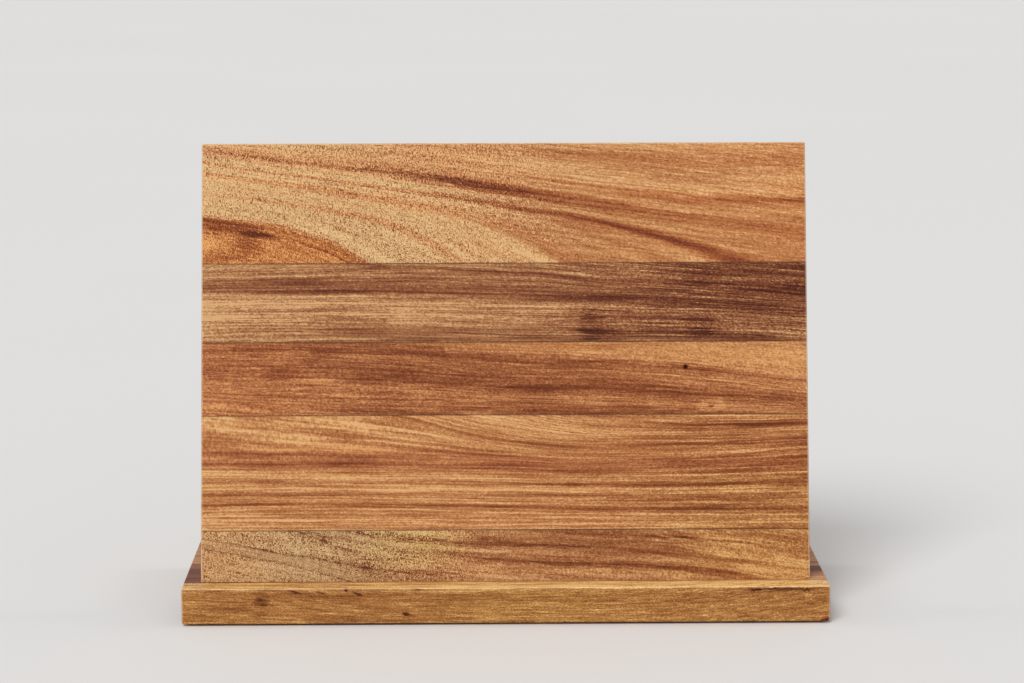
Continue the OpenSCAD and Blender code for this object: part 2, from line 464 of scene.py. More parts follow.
def grain_noise(shader, u, across, w, length, height, seed, detail=3.0, roughness=0.55):
    """Noise drawn out along the grain: length and height are its size along and across it."""
    place = shader.vector(u / length + seed, across / height, w / height + seed)
    return shader.noise(place, detail, roughness)


class Wood:
    """Figure of one stave: its node tree, u, v and w on it, and the rows that its grain follows.

    Where a value changes along the stave it is given as numbers at even stations, from the left end to
    the right, and a value that stays the same is a plain number.
    """

    def __init__(self, node, place):
        self.shader = Shader(node.replace("_stave", ""))
        self.u, self.v, self.w = self.shader.object_place(place)
        self.half = BOARD_HALF if place is BOARD else BASE_HALF
        self.glue = self.glue_lines(place, node)
        self.rows = {}

    def spread(self, values):
        """Curve through values at even stations from the left end to the right."""
        if not isinstance(values, tuple):
            return values
        step = 2 * self.half / (len(values) - 1)
        return self.shader.curve(self.u, [(-self.half + i * step, value) for i, value in enumerate(values)])

    def noise(self, across, length, height, seed, detail=3.0, roughness=0.55):
        return grain_noise(self.shader, self.u, across, self.w, length, height, seed, detail, roughness)

    def bent(self, seed, slope, fray, sway, lean=0.5):
        """Height with small and slow bends of the grain in it, each a length, a height and a reach."""
        frayed = self.noise(self.v + self.u * slope, fray[0], fray[1], seed + 1, 2.0) * fray[2]
        swayed = self.noise(self.v, sway[0], sway[1], seed + 2, 1.0) * sway[2]
        return self.v + self.w * lean + frayed + swayed

    def banded(self, v, rows):
        """Ground tone, from rows that follow the grain from the lowest to the highest.

        Each row holds its name, its heights and its tones. The tone runs straight from row to row.
        """
        self.rows = {row: self.spread(heights) for row, heights, tones in rows}
        lines = list(self.rows.values())
        tones = [self.spread(tones) for row, heights, tones in rows]
        total = tones[0]
        for i in range(len(lines) - 1):
            total = total + v.slide(lines[i], lines[i + 1], 0, tones[i + 1] - tones[i])
        return total

    def streaks(self, v, bands):
        """Sum of soft bands: each is its row, half width, strengths, and height above the row if any."""
        total = 0.0
        for row, half_width, strengths, *above in bands:
            height = v - self.rows[row] - sum(above)
            total = streak(height, self.spread(half_width), self.spread(strengths)) + total
        return total

    def smudge(self, v, middle_u, middle_v, half_length, half_height, strength, slope=0.0):
        """Soft oval patch whose long side follows the slope."""
        far_u = (self.u - middle_u) / half_length
        far_v = (v - middle_v - (self.u - middle_u) * slope) / half_height
        return (far_u * far_u + far_v * far_v).rise(1, 0) * strength

    def smudges(self, v, marks):
        """Sum of soft oval patches."""
        total = 0.0
        for mark in marks:
            total = self.smudge(v, *mark) + total
        return total

    def flow(self, v, **values):
        """Height measured across the grain: it keeps one value along each of the rows that are named."""
        guides = [(value, self.rows[row]) for row, value in values.items()]
        value, line = guides[0]
        grain = (v - line).below(0) + value
        for (value, line), (next_value, next_line) in zip(guides, guides[1:]):
            grain = grain + v.slide(line, next_line, 0, next_value - value)
        return grain + (v - guides[-1][1]).above(0)

    def fibres(self, across, seed, length=70.0, height=0.95):
        """Long fine lines along the grain, about 0."""
        return self.noise(across, length, height, seed, 2.0, 0.6) * 2

    def dashes(self, across, seed, coarse, small):
        """Two sizes of short marks, each a length, a height, a detail, a roughness and a strength."""
        tilted = self.u + across * 0.35
        total = 0.0
        for shift, (length, height, detail, roughness, strength) in ((0.0, coarse), (0.5, small)):
            start = seed + shift
            mark = grain_noise(self.shader, tilted, across, self.w, length, height, start, detail, roughness)
            total = mark * strength + total
        return total

    def flecks(self, across, seed, length=1.7):
        """Short dashes along the grain, about 0."""
        coarse = (length * 1.4, 0.8, 1.5, 0.7, 0.9)
        small = (length * 0.6, 0.48, 1.0, 0.6, 2.2)
        return self.dashes(across, seed, coarse, small)

    def specks(self, across, seed):
        """Fine grains of light and dark where pores meet the surface end on, about 0."""
        return self.dashes(across, seed, (1.26, 0.84, 1.5, 0.7, 0.5), (0.42, 0.357, 0.0, 0.55, 4.2))

    def glue_lines(self, place, node):
        """1 on the hairlines of glue along a stave's inner long sides, worn away here and there."""
        low, high = place.limits(node)
        line = 9.0
        if not node.endswith(("_bottom", "_front")):
            line = (self.v - low[1]).size()
        if not node.endswith(("_top", "_rear")):
            line = (self.v - high[1]).size().below(line)
        worn = self.shader.noise(self.shader.vector(self.u / 9, self.v / 30, low[1]), 2.0) + 0.62
        return line.rise(0.55, 0.1) * worn.rise(0.3, 0.6)

    def painted_edge_highlight(self, height, top, up):
        """1 on the eased outer edges, where a pale highlight is painted: at both ends and along the top.

        Up is the way the top side faces, which is left out like both end faces.
        """
        beside = 1 - self.shader.along(SIDEWAYS).rise(0.75, 0.95)
        below = 1 - self.shader.along(up).rise(0.75, 0.95)
        sides = (self.u.size() - self.half).rise(-1.0, -0.3) * beside
        crest = (height - top).size().rise(0.9, 0.3) * below
        patchy = self.shader.noise(self.shader.vector(self.u / 14, height / 14, 0.0), 2.0) + 0.75
        return sides.above(crest) * patchy

    def end_rings(self, reach):
        """Growth rings and pore dots of the end grain, a factor about 1. The pith lies reach below."""
        far_v = self.v * 0.55 + reach
        far_w = self.w + reach
        radius = self.shader.math("SQRT", far_v * far_v + far_w * far_w)
        wobble = self.shader.noise(self.shader.vector(self.u / 50, self.v / 12, self.w / 12), 2.0) * 3
        ring = self.shader.noise(self.shader.vector((radius + wobble) / 1.5, self.u / 200, reach), 2.0, 0.7)
        dots = self.shader.noise(self.shader.vector(self.u / 30, self.v / 0.55, self.w / 0.55), 1.0)
        return (ring * 1.6 - dots.rise(0.1, 0.28) * 0.3).exp()

    def finish(self, palettes, tone, dirt, relief, warmth=0.0, glazes=(), rim=0.0, reach=23.0):
        """Turns tone into colour. The colour goes from the first palette to the second with warmth.

        Dirt darkens the glue lines and the open pores. Each glaze is an amount and a colour to multiply
        by. End grain soaks up more oil, so it is darker and duller.
        """
        end_grain = self.shader.along(SIDEWAYS).rise(0.6, 0.9)
        tone = tone * (end_grain * (self.end_rings(reach) * 0.85 - 1) + 1)
        colour = self.shader.ramp(tone, PALETTES[palettes[0]])
        if len(palettes) > 1:
            colour = self.shader.blend(warmth, colour, self.shader.ramp(tone, PALETTES[palettes[1]]))
        for amount, tint in glazes:
            colour = self.shader.blend(amount, colour, tint, "MULTIPLY")
        colour = self.shader.blend(dirt * 0.75, colour, GLUE_COLOUR)
        # Painted highlight: the eased edges are blended towards a pale colour as far as rim goes.
        colour = self.shader.blend(rim, colour, EDGE_HIGHLIGHT_COLOUR)
        colour = self.shader.blend(end_grain * 0.3, colour, END_GRAIN_COLOUR)
        roughness = 0.44 + relief * -0.12 + end_grain * 0.15
        return self.shader.finish(colour, roughness, relief, depth_mm=0.06, gloss=0.12)


def plain_wood(place, node, palettes, seed, base=0.38, warmth=0.3):
    """Straight-grained stave with slow waves, for the faces that no one sees first."""
    wood = Wood(node, place)
    across = wood.v + wood.w * 0.7 + wood.noise(wood.v, 150, 60, seed, 1.0) * 20
    broad = wood.noise(across, 260, 9, seed + 3, 2.0)
    rings = wood.noise(across, 190, 2.2, seed + 5)
    blotch = wood.noise(across, 30, 4.0, seed + 6, 2.0)
    fine = wood.fibres(across, seed + 7)
    short = wood.flecks(across, seed + 8)
    waves = broad * 1.3 + rings * 1.3 + blotch * 0.9 + fine * 0.8 + short * 0.8
    reach = 12.0 + seed % 37
    return wood.finish(palettes, waves.exp() * base, wood.glue, 0.7 + short * 0.4, warmth, (), 0.0, reach)


def front_top():
    """Top stave: cream with dark lines that fall to the right, and heartwood at the lower left."""
    wood = Wood("front_stave_top", BOARD)
    u = wood.u
    # Rim is a painted pale highlight along the eased edges.
    rim = wood.painted_edge_highlight(wood.v, BOARD_TOP, BOARD_UP) * 0.6
    v = wood.bent(0, 0.14, (14, 0.9, 2.2), (45, 9, 3), 0.6)
    ground = wood.banded(v, (
        ("heart", (183, 174.5, 147.5, 127, 105, 85, 70), (0.7, 0.66, 0.68, 0.66, 0.48, 0.4, 0.38)),
        ("fan", (193.5, 187.5, 175, 140, 118, 97, 78), (0.74, 0.66, 0.68, 0.66, 0.45, 0.37, 0.38)),
        ("orange", (203.5, 197.5, 189, 178, 149, 122, 95), (0.74, 0.72, 0.7, 0.54, 0.41, 0.36, 0.36)),
        ("second", (209, 202.6, 195, 187.5, 178.3, 164, 146), (0.72, 0.74, 0.7, 0.44, 0.37, 0.36, 0.36)),
        ("main", (215.5, 209.3, 203, 196, 188.3, 180, 172.8), (0.7, 0.7, 0.58, 0.4, 0.36, 0.39, 0.4)),
        ("fourth", (221, 217.5, 212, 205, 195.5, 190.3, 190), (0.72, 0.6, 0.53, 0.55, 0.47, 0.48, 0.48)),
        ("pale", (223.5, 219.5, 214.5, 208.5, 201, 197, 196.5), (0.78, 0.62, 0.52, 0.64, 0.6, 0.64, 0.6)),
        ("pored", (226, 222, 218, 213, 206, 203, 204), (0.8, 0.68, 0.54, 0.49, 0.46, 0.5, 0.5)),
        ("rim", (231, 228, 224, 218.5, 212, 209.3, 210), (0.8, 0.7, 0.56, 0.49, 0.46, 0.48, 0.48)),
        ("crest", (238, 235, 231, 225.5, 219, 216.3, 217), (0.8, 0.7, 0.56, 0.52, 0.5, 0.53, 0.5)),
    ))
    dark = wood.streaks(v, (
        ("main", (2.4, 2.2, 2.8, 3, 1.9, 1.8, 1.6), (0.4, 0.4, 0.38, 0.31, 0.13, 0.12, 0.12)),
        ("second", (0.9, 1, 1.3, 1.6, 2.2, 3.8, 4.5), (0.18, 0.3, 0.34, 0.26, 0.26, 0.22, 0.14)),
        ("orange", (1.6, 1.8, 2.4, 3.5, 5, 5, 5), (0.18, 0.2, 0.2, 0.15, 0.1, 0, 0)),
        ("fan", (2, 2.2, 2.8, 5, 5, 5, 5), (0.07, 0.13, 0.15, 0.08, 0, 0, 0)),
        ("fourth", (1, 1, 1.2, 1.4, 1.8, 2.6, 2.8), (0, 0, 0, 0.06, 0.15, 0.22, 0.26)),
        ("rim", 3, (0, 0.04, 0.06, 0.06, 0.11, 0.09, 0.08)),
        ("heart", 1.6, (0.16, 0.2, 0.28, 0.2, 0, 0, 0)),
        ("main", 0.9, (0.04, 0.08, 0.12, 0.1, 0.08, 0.05, 0), 1.8),
        ("main", 0.8, (0, 0, 0.06, 0.12, 0.1, 0.06, 0.04), -2.6),
        ("orange", 0.8, (0.05, 0.07, 0.08, 0.05, 0, 0, 0), 2.8),
        ("fan", 1.2, (0.06, 0.06, 0.05, 0.04, 0, 0, 0), 5),
    ))
    inside = (v - wood.rows["heart"]).rise(0.6, -1.2)
    vein = wood.streaks(v, (("heart", (1.4, 1.1, 1, 1, 1, 1, 1), (0.16, 0.2, 0.1, 0, 0, 0, 0), -5.5),))
    pocket = 0.39 - vein - wood.smudges(v, (
        (-129, 167, 11, 8, 0.2), (-143, 161.5, 14, 2.6, 0.14), (-137, 177, 26, 5, 0.12, -0.22),
        (-148, 168, 7, 4, -0.2), (-122, 172.4, 12, 2, 0.2, -0.2),
    ))
    pocket = pocket.above(0.06) - wood.streaks(v, (("heart", 3, 0.16, -1.8),))
    tone = (ground - dark) * (1 - inside) + pocket * inside
    grain = wood.flow(v, heart=183, fan=193, orange=201, second=208, main=214, fourth=221, pored=225,
                      rim=230)
    bands = wood.noise(grain, 120, 1.6, 4)
    threads = wood.noise(grain, 140, 0.9, 17, 2)
    steep = (wood.rows["orange"] - v).rise(-3, 8)
    level = v + u * 0.13
    slant = v + u * 0.42
    fine = wood.fibres(level, 11) * (1 - steep) + wood.fibres(slant, 12) * steep
    left = u.slide(-40, 60, 1, 0)
    dots = wood.specks(level, 13) * (1 - steep) + wood.specks(slant, 14) * steep
    threaded = threads.slide(-0.25, 0.25, 0.7, 1.5)
    dots = dots * left * (1.42 - inside * 0.6) * threaded
    short = dots + wood.flecks(level, 15, 1.8) * (1 - left) * 0.85
    blotch = wood.noise(level, 26, 5, 16, 2)
    lined = (bands * 1.1 + threads * 0.9) * (left * 0.5 + 1)
    tone = tone * (lined + blotch * 0.5 + fine * 0.95 + short).exp()
    tone = tone * wood.spread((1.12, 1.1, 1.08, 1.02, 0.97, 0.97, 0.97))
    open_grain = wood.noise(v + u * 0.03, 4.5, 0.7, 18, 1).rise(0.06, 0.2)
    upper_pores = streak(v - wood.rows["pored"], 6, 1).above(streak(v - wood.rows["rim"], 4.5, 1))
    above_main = v - wood.rows["main"]
    lower_pores = streak(above_main + 6, 5, 0.7) * u.slide(-20, 20) * u.slide(130, 60)
    pored = (upper_pores * u.slide(-30, 30)).above(lower_pores)
    orange_side = above_main.rise(-5, 0) * (1 - above_main.rise(4, 10) * u.slide(-110, -60, 1, 0))
    orange_side = orange_side * wood.spread((0.65, 0.75, 0.8, 0.3, 0, 0, 0))
    warmth = wood.spread((0, 0, 0.05, 0.35, 0.48, 0.62, 0.8)) + inside + orange_side
    warmth = warmth + dark * wood.spread((6, 6, 5.5, 2.2, 2.2, 2.2, 2.2)) - bands * left * 0.8
    dirt = wood.glue.above(open_grain * pored * 0.55)
    glazes = ((inside, (1, 0.93, 0.76)),)
    return wood.finish(("straw", "ember"), tone, dirt, 0.7 + short * 0.4, warmth, glazes, rim)


def front_upper():
    """Second stave from the top: walnut stripes that fall gently to the right, and a dark middle band."""
    wood = Wood("front_stave_upper", BOARD)
    u = wood.u
    # Rim is a painted pale highlight along the eased edges.
    rim = wood.painted_edge_highlight(wood.v, BOARD_TOP, BOARD_UP) * 0.6
    v = wood.bent(20, 0.05, (22, 0.8, 1.4), (60, 8, 2))
    ground = wood.banded(v, (
        ("foot", (118, 118, 118, 118, 118, 118, 116), (0.34, 0.34, 0.27, 0.23, 0.2, 0.15, 0.17)),
        ("low", (123.5, 124.5, 124, 122.5, 122, 121, 119), (0.56, 0.38, 0.3, 0.27, 0.19, 0.17, 0.25)),
        ("pale", (128, 128, 128, 127, 127, 126.5, 124), (0.64, 0.38, 0.42, 0.37, 0.29, 0.33, 0.4)),
        ("thread", (133, 133.2, 132.7, 131.5, 131, 129.5, 126.5), (0.78, 0.5, 0.53, 0.38, 0.26, 0.27, 0.3)),
        ("tan", (138.5, 138.5, 138, 137.5, 136, 133.5, 130), (0.82, 0.6, 0.54, 0.47, 0.3, 0.24, 0.3)),
        ("under", (143, 143, 142.4, 140.5, 138.5, 136.5, 133), (0.55, 0.34, 0.33, 0.3, 0.19, 0.14, 0.18)),
        ("seam", (144.6, 144.6, 144.3, 142.8, 141.3, 139.3, 135.8),
         (0.26, 0.21, 0.2, 0.18, 0.15, 0.14, 0.14)),
        ("over", (149.5, 150.2, 149, 147, 145.3, 143, 139), (0.29, 0.24, 0.27, 0.27, 0.25, 0.22, 0.17)),
        ("ridge", (154, 155, 155.5, 154, 149.7, 146, 142), (0.42, 0.36, 0.3, 0.28, 0.25, 0.16, 0.12)),
        ("crown", (158, 159, 160, 159, 156, 152, 149), (0.5, 0.4, 0.3, 0.35, 0.32, 0.17, 0.14)),
    ))
    dark = wood.streaks(v, (
        ("seam", 0.7, (0.08, 0.09, 0.1, 0.06, 0.05, 0.04, 0.03)),
        ("ridge", 0.6, (0, 0, 0, 0.12, 0.09, 0.09, 0.08)),
        ("over", 0.7, (0.07, 0.04, 0.04, 0.08, 0.06, 0.03, 0.06)),
        ("thread", 0.6, (0.06, 0.03, -0.12, -0.06, 0.08, 0.09, 0.08)),
        ("low", 0.6, (0, 0.05, 0.05, 0.06, 0.04, 0.04, 0.05)),
    ))
    dark = dark + wood.smudges(v, (
        (-66, 157.6, 12, 2, 0.16, -0.02), (-97, 149.2, 15, 2.2, 0.04), (-84, 130.5, 18, 5.5, 0.11),
        (-80, 125.6, 20, 1.6, 0.12), (-84, 136.2, 20, 1.8, 0.12), (-82, 143.2, 24, 1.2, 0.14),
        (-76, 136, 26, 3.4, 0.06), (-61, 131, 4, 9, 0.08), (38, 141, 38, 3.4, 0.07),
        (36, 132.6, 12, 1.2, 0.1), (86, 127.2, 16, 1, -0.1), (96, 147.8, 24, 1.4, 0.1, -0.04),
        (140, 155, 18, 1.2, 0.07), (33, 158, 12, 1.2, -0.1), (46, 134.5, 20, 2.4, 0.07),
        (100, 151.5, 14, 5, 0.05), (-88, 141, 16, 1.6, 0.08),
    ))
    torn = wood.noise(v, 26, 0.8, 28, 2).slide(-0.3, 0.3, -0.1, 2.1)
    dark = dark + torn * wood.smudges(v, (
        (43, 126.5, 10, 9, 0.09), (98, 127, 12, 8, 0.07), (45, 131.5, 12, 1.6, 0.1),
        (50, 124.2, 20, 2.2, 0.13, -0.02), (50, 120.4, 18, 1.2, 0.08), (76, 123.8, 18, 1.2, 0.1, -0.02),
        (96, 130, 16, 1.6, 0.12, -0.03), (100, 124, 18, 2.4, 0.13, -0.03), (118, 121.8, 24, 2, 0.1, -0.03),
    ))
    grain = wood.flow(v, foot=118, low=123.5, thread=131.5, seam=142.8, ridge=153, crown=158)
    bands = wood.noise(grain, 150, 1.5, 24, 3)
    blotch = wood.noise(grain, 30, 2.4, 25, 2)
    fine = wood.fibres(grain, 26, 60, 0.75)
    short = wood.flecks(grain, 27)
    bold = u.slide(10, 90, 1, 1.5)
    texture = (bands * 1.9 + blotch * 1.3 + fine * 1.45 + short * 1.05) * bold
    tone = (ground - dark).above(0.04) * texture.exp()
    tone = tone * u.slide(20, 110, 0.96, 0.82)
    grey = (v - wood.rows["low"]).rise(5, 0) * u.slide(-110, -60) * 0.5
    dirt = wood.glue.above(grey * short.slide(0, 0.5))
    ruddy = (0.3 - tone).rise(0, 0.16) * 0.8
    glazes = ((1, (1, 0.965, 0.92)), (ruddy, (1.06, 0.94, 0.92)))
    return wood.finish(("walnut",), tone, dirt, 0.7 + short * 0.4, 0, glazes, rim)


def front_middle():
    """Middle stave: red-brown, with an orange wedge at the upper right, a pin knot and an eye knot."""
    wood = Wood("front_stave_middle", BOARD)
    u = wood.u
    # Rim is a painted pale highlight along the eased edges.
    rim = wood.painted_edge_highlight(wood.v, BOARD_TOP, BOARD_UP) * 0.6
    v = wood.bent(30, 0.05, (18, 0.9, 1.8), (55, 8, 2))
    ground = wood.banded(v, (
        ("foot", 80.5, (0.58, 0.52, 0.3, 0.25, 0.24, 0.34, 0.35)),
        ("low", (89.5, 85.5, 84, 83.5, 83.3, 83.5, 82.5), (0.36, 0.36, 0.24, 0.25, 0.2, 0.28, 0.33)),
        ("thread", (94.5, 92, 90.5, 88.8, 87.5, 86.5, 85), (0.37, 0.33, 0.27, 0.3, 0.31, 0.38, 0.34)),
        ("light", (98, 96.5, 95.5, 91.5, 91, 90, 87.5), (0.41, 0.38, 0.38, 0.34, 0.35, 0.25, 0.27)),
        ("vein", (103, 102, 100, 96.5, 95.8, 92.7, 89.8), (0.31, 0.26, 0.19, 0.18, 0.17, 0.2, 0.25)),
        ("mid", (108, 107, 105, 102.5, 101.5, 97, 93.5), (0.28, 0.25, 0.23, 0.25, 0.26, 0.32, 0.36)),
        ("pale", (112, 111, 109, 106, 104.2, 100, 95.3), (0.36, 0.28, 0.24, 0.24, 0.29, 0.37, 0.4)),
        ("under", (116, 115, 113.5, 111, 109.3, 104.6, 99), (0.3, 0.23, 0.2, 0.21, 0.25, 0.29, 0.35)),
        ("wedge", (120, 119.5, 118, 114.5, 112.4, 107.5, 102), (0.32, 0.28, 0.28, 0.38, 0.44, 0.5, 0.55)),
        ("crown", (124, 123, 122, 118, 117, 113, 108), (0.3, 0.28, 0.35, 0.45, 0.46, 0.56, 0.59)),
        ("rim", (130, 129, 128, 124, 122, 121, 119), (0.3, 0.28, 0.35, 0.46, 0.44, 0.46, 0.47)),
    ))
    dark = wood.streaks(v, (
        ("low", 0.9, (0.06, 0.05, 0.04, 0, 0.03, 0, 0)),
        ("thread", 0.6, (0.08, 0.1, 0.09, 0.04, 0, 0, 0)),
        ("vein", 0.7, (0, 0.02, 0.05, 0.06, 0.04, 0.06, 0.03)),
        ("pale", 0.6, (0, 0, 0, -0.02, -0.09, -0.08, -0.09)),
        ("under", 0.9, (0, 0, 0.04, 0.03, 0.03, 0.04, 0.04)),
    ))
    dark = dark + wood.smudges(v, (
        (-125, 115.8, 18, 1.6, 0.08), (-86, 114.5, 14, 3, 0.07), (-48, 114.8, 16, 2.6, 0.04, -0.04),
        (-30, 111.5, 18, 2.6, 0.03, -0.04), (-138, 107.5, 18, 1.4, 0.08),
        (-60, 103.4, 24, 3.6, 0.06, -0.03), (-88, 99.8, 26, 2.2, -0.08, -0.03), (-118, 95.2, 14, 1.6, 0.08),
        (-58, 93, 18, 1.8, 0.07), (-70, 85, 24, 2.6, 0.04, -0.02), (28, 95.8, 24, 2.2, 0.03),
        (74, 93.4, 30, 1.6, 0.05, -0.03), (112, 91.6, 14, 1.2, 0.08, -0.02), (24, 85.2, 30, 1.6, 0.07),
        (64, 85.6, 18, 1.8, 0.07), (110, 82.8, 16, 1.2, 0.08), (96.5, 88.5, 6, 1.2, -0.06, 0.1),
        (104, 103.5, 16, 2.2, 0.02, -0.06),
    ))
    pin_knot = wood.smudge(wood.v, 90.3, 106.1, 1.9, 1.8, 0.9)
    eye_knot = wood.smudge(wood.v, 103.1, 86.5, 2.2, 0.9, 0.8, 0.12)
    eye_halo = wood.smudge(wood.v, 103, 86.7, 9, 3.6, 0.4, 0.03).below(0.2)
    knots = pin_knot + eye_knot
    dark = dark - eye_halo
    grain = wood.flow(v, foot=80.5, low=84, thread=89.5, vein=98, pale=106, wedge=113.5, rim=124)
    bands = wood.noise(grain, 110, 1.6, 34, 3)
    blotch = wood.noise(grain, 26, 2.6, 35, 2)
    fine = wood.fibres(grain, 36, 30, 0.7)
    short = wood.flecks(grain, 37)
    fair = (v - wood.rows["wedge"]).rise(-1, 2)
    bold = fair.slide(0, 1, 1, 0.5)
    texture = (bands * 1.5 + blotch * 1.1 + fine * 1.2) * bold + short * (0.55 + bold * 0.5)
    tone = (ground - dark).above(0.04) * texture.exp()
    tone = tone * (1 - knots) * u.slide(-60, 0, 0.98, 0.92)
    rosy = u.slide(-80, -120) * (1 - fair)
    glazes = ((0.8, (1, 0.97, 0.9)), (fair, (1, 1, 0.96)), (rosy, (1, 0.94, 0.93)))
    warmth = fair.above(u.slide(-10, 60) * 0.5) * 0.8
    relief = 0.7 + short * 0.4 - knots
    return wood.finish(("russet", "amber"), tone, wood.glue, relief, warmth, glazes, rim)


def front_lower():
    """Second stave from the bottom: amber, with straight lines below and long curved ones above."""
    wood = Wood("front_stave_lower", BOARD)
    u = wood.u
    # Rim is a painted pale highlight along the eased edges.
    rim = wood.painted_edge_highlight(wood.v, BOARD_TOP, BOARD_UP) * 0.6
    v = wood.bent(40, 0, (20, 0.9, 1.3), (55, 8, 1.2))
    ground = wood.banded(v, (
        ("foot", 24, (0.5, 0.46, 0.42, 0.45, 0.46, 0.42, 0.4)),
        ("plain", (30, 30, 30, 29.5, 29.5, 29, 29), (0.58, 0.53, 0.54, 0.5, 0.48, 0.42, 0.4)),
        ("first", (34.6, 34.2, 33.2, 31.9, 31.6, 31, 31), (0.42, 0.4, 0.36, 0.4, 0.42, 0.37, 0.35)),
        ("chalk", (36, 36, 35.2, 33.4, 32.8, 32.3, 33), (0.48, 0.47, 0.46, 0.46, 0.47, 0.46, 0.42)),
        ("second", (38.4, 38.6, 37.8, 36.8, 35.8, 35.2, 35.5), (0.24, 0.26, 0.26, 0.26, 0.24, 0.2, 0.24)),
        ("honey", (40.8, 40.8, 40.5, 39.3, 38.8, 38.2, 38.3), (0.58, 0.47, 0.5, 0.42, 0.41, 0.4, 0.46)),
        ("third", (43.4, 43.6, 43.3, 42.6, 41.8, 41.4, 41.3), (0.24, 0.26, 0.32, 0.3, 0.29, 0.27, 0.27)),
        ("bright", (45.6, 45.7, 45.8, 45.1, 44.6, 44.4, 44.8), (0.66, 0.54, 0.7, 0.64, 0.54, 0.54, 0.6)),
        ("fourth", (49, 49.3, 48.8, 48.2, 47.5, 47.8, 48.8), (0.4, 0.36, 0.36, 0.31, 0.27, 0.2, 0.19)),
        ("sand", (53, 52.8, 52, 51, 50.4, 51, 52.6), (0.62, 0.56, 0.54, 0.52, 0.48, 0.42, 0.38)),
        ("edge", (55.6, 55.3, 54.4, 53, 52.9, 53.8, 55.6), (0.42, 0.44, 0.4, 0.3, 0.3, 0.27, 0.24)),
        ("red", (58.5, 58.5, 58, 57.5, 56, 57.2, 59), (0.26, 0.25, 0.27, 0.25, 0.28, 0.27, 0.26)),
        ("rust", (62, 61.5, 61, 60.5, 58.5, 60, 62.5), (0.34, 0.3, 0.31, 0.3, 0.3, 0.29, 0.29)),
        ("clay", (67, 67, 66.5, 63.2, 60.5, 61.4, 64.4), (0.38, 0.48, 0.4, 0.31, 0.3, 0.31, 0.31)),
        ("silk", (86, 78.6, 72.8, 65.9, 62.3, 62.9, 66), (0.52, 0.5, 0.46, 0.42, 0.42, 0.42, 0.4)),
        ("crease", (100, 90, 81.5, 70, 66.5, 66.7, 68.8), (0.46, 0.46, 0.43, 0.32, 0.28, 0.28, 0.26)),
        ("fold", (104, 96, 87, 75, 70, 70, 71.6), (0.5, 0.5, 0.5, 0.5, 0.36, 0.32, 0.28)),
        ("ribbon", (110, 100, 92, 80.8, 74, 73.3, 74.6), (0.5, 0.5, 0.55, 0.55, 0.5, 0.46, 0.44)),
        ("shade", (114, 104, 97, 86, 77.5, 77, 77.4), (0.5, 0.5, 0.55, 0.5, 0.42, 0.21, 0.17)),
        ("brink", (118, 108, 102, 91, 81.5, 79.8, 80.6), (0.5, 0.5, 0.5, 0.45, 0.42, 0.42, 0.4)),
        ("crown", (122, 112, 106, 96, 87, 84, 84), (0.5, 0.5, 0.5, 0.4, 0.36, 0.36, 0.34)),
    ))
    dark = wood.streaks(v, (
        ("red", 0.6, (0.07, 0.08, 0.02, 0.05, 0.02, 0.03, 0.04)),
        ("silk", 0.7, (0, -0.12, -0.12, -0.12, -0.1, -0.06, -0.06)),
        ("second", 0.8, (0.02, 0.07, 0.06, 0.06, 0.06, 0.05, 0.02)),
        ("third", 0.7, (0.02, 0.07, 0.01, 0.04, 0.03, 0.03, 0)),
        ("fourth", 1, (0.04, 0.04, 0.05, 0.06, 0.05, 0.03, 0.04)),
        ("shade", 1.3, (0, 0, 0, 0, 0, 0.05, 0.05)),
        ("crease", 0.8, (0, 0, 0.08, 0.1, 0.05, 0.03, 0.04)),
        ("ribbon", 0.6, (0, 0, 0, -0.06, -0.12, -0.1, -0.1)),
        ("brink", 0.6, (0, 0, 0, 0, 0, -0.1, -0.12)),
        ("bright", 0.7, (-0.03, 0, -0.08, -0.06, 0, 0, 0)),
        ("chalk", 0.35, (0, 0, 0, -0.04, -0.08, -0.1, -0.1)),
        ("first", 0.5, (0.05, 0.05, 0.08, 0.05, 0, 0, 0)),
    ))
    dark = dark + wood.smudges(v, (
        (-118, 50, 12, 1.4, 0.12), (-75, 58.8, 20, 5.5, 0.06), (-124, 57.6, 20, 1.6, 0.08),
        (-76, 71.5, 16, 2.8, 0.1), (-90, 75.6, 20, 1.2, 0.08, -0.04), (-142, 72, 14, 3, -0.06),
        (-138, 63, 20, 1.6, -0.1), (-131, 80.5, 18, 2.4, 0.06), (-117, 81.6, 8, 0.8, -0.16, -0.25),
        (-100, 71, 16, 4, -0.02), (-58, 80, 20, 3.4, 0.08), (-60, 45.2, 12, 1.8, -0.08),
        (34, 47.6, 9, 1.4, 0.12), (100, 41.5, 12, 1.2, 0.05), (84, 66.2, 26, 2, 0.04),
        (103, 35.4, 12, 1.4, 0.06), (-62, 36, 14, 2, -0.05), (-12, 58, 20, 1.8, 0.06, -0.02),
        (128, 76.4, 22, 2.4, 0.05),
    ))
    grain = wood.flow(v, foot=24, second=36.8, fourth=48.2, red=57.5, silk=65.9, crease=70, ribbon=80.8,
                      crown=96)
    bands = wood.noise(grain, 150, 1.3, 44, 3)
    blotch = wood.noise(grain, 26, 2.2, 45, 2)
    fine = wood.fibres(grain, 46, 60) * u.slide(0, 60, 1, 0.6)
    fine = fine + wood.fibres(grain, 48, 70, 1.6) * u.slide(0, 60, 0, 0.6)
    short = wood.flecks(grain, 47)
    bold = u.slide(10, 100, 0.95, 1.3)
    texture = (bands * 1.25 + blotch * 0.8 + fine * 1.5 + short * 0.8) * bold
    tone = (ground - dark).above(0.04) * texture.exp()
    tone = tone * u.slide(0, 100, 0.99, 0.86)
    edge = wood.rows["edge"]
    rosy = (v - edge).rise(0, 3) * (wood.rows["clay"] + 2 - v).rise(0, 4) * u.slide(20, 60, 1, 0.5)
    tawny = u.slide(60, 110) * (edge - v).rise(0, 4)
    glazes = ((rosy, (1, 0.93, 0.93)), (1, (1, 1, 0.95)), (tawny, (0.99, 1.05, 0.98)))
    return wood.finish(("amber", "russet"), tone, wood.glue, 0.7 + short * 0.4, rosy, glazes, rim)


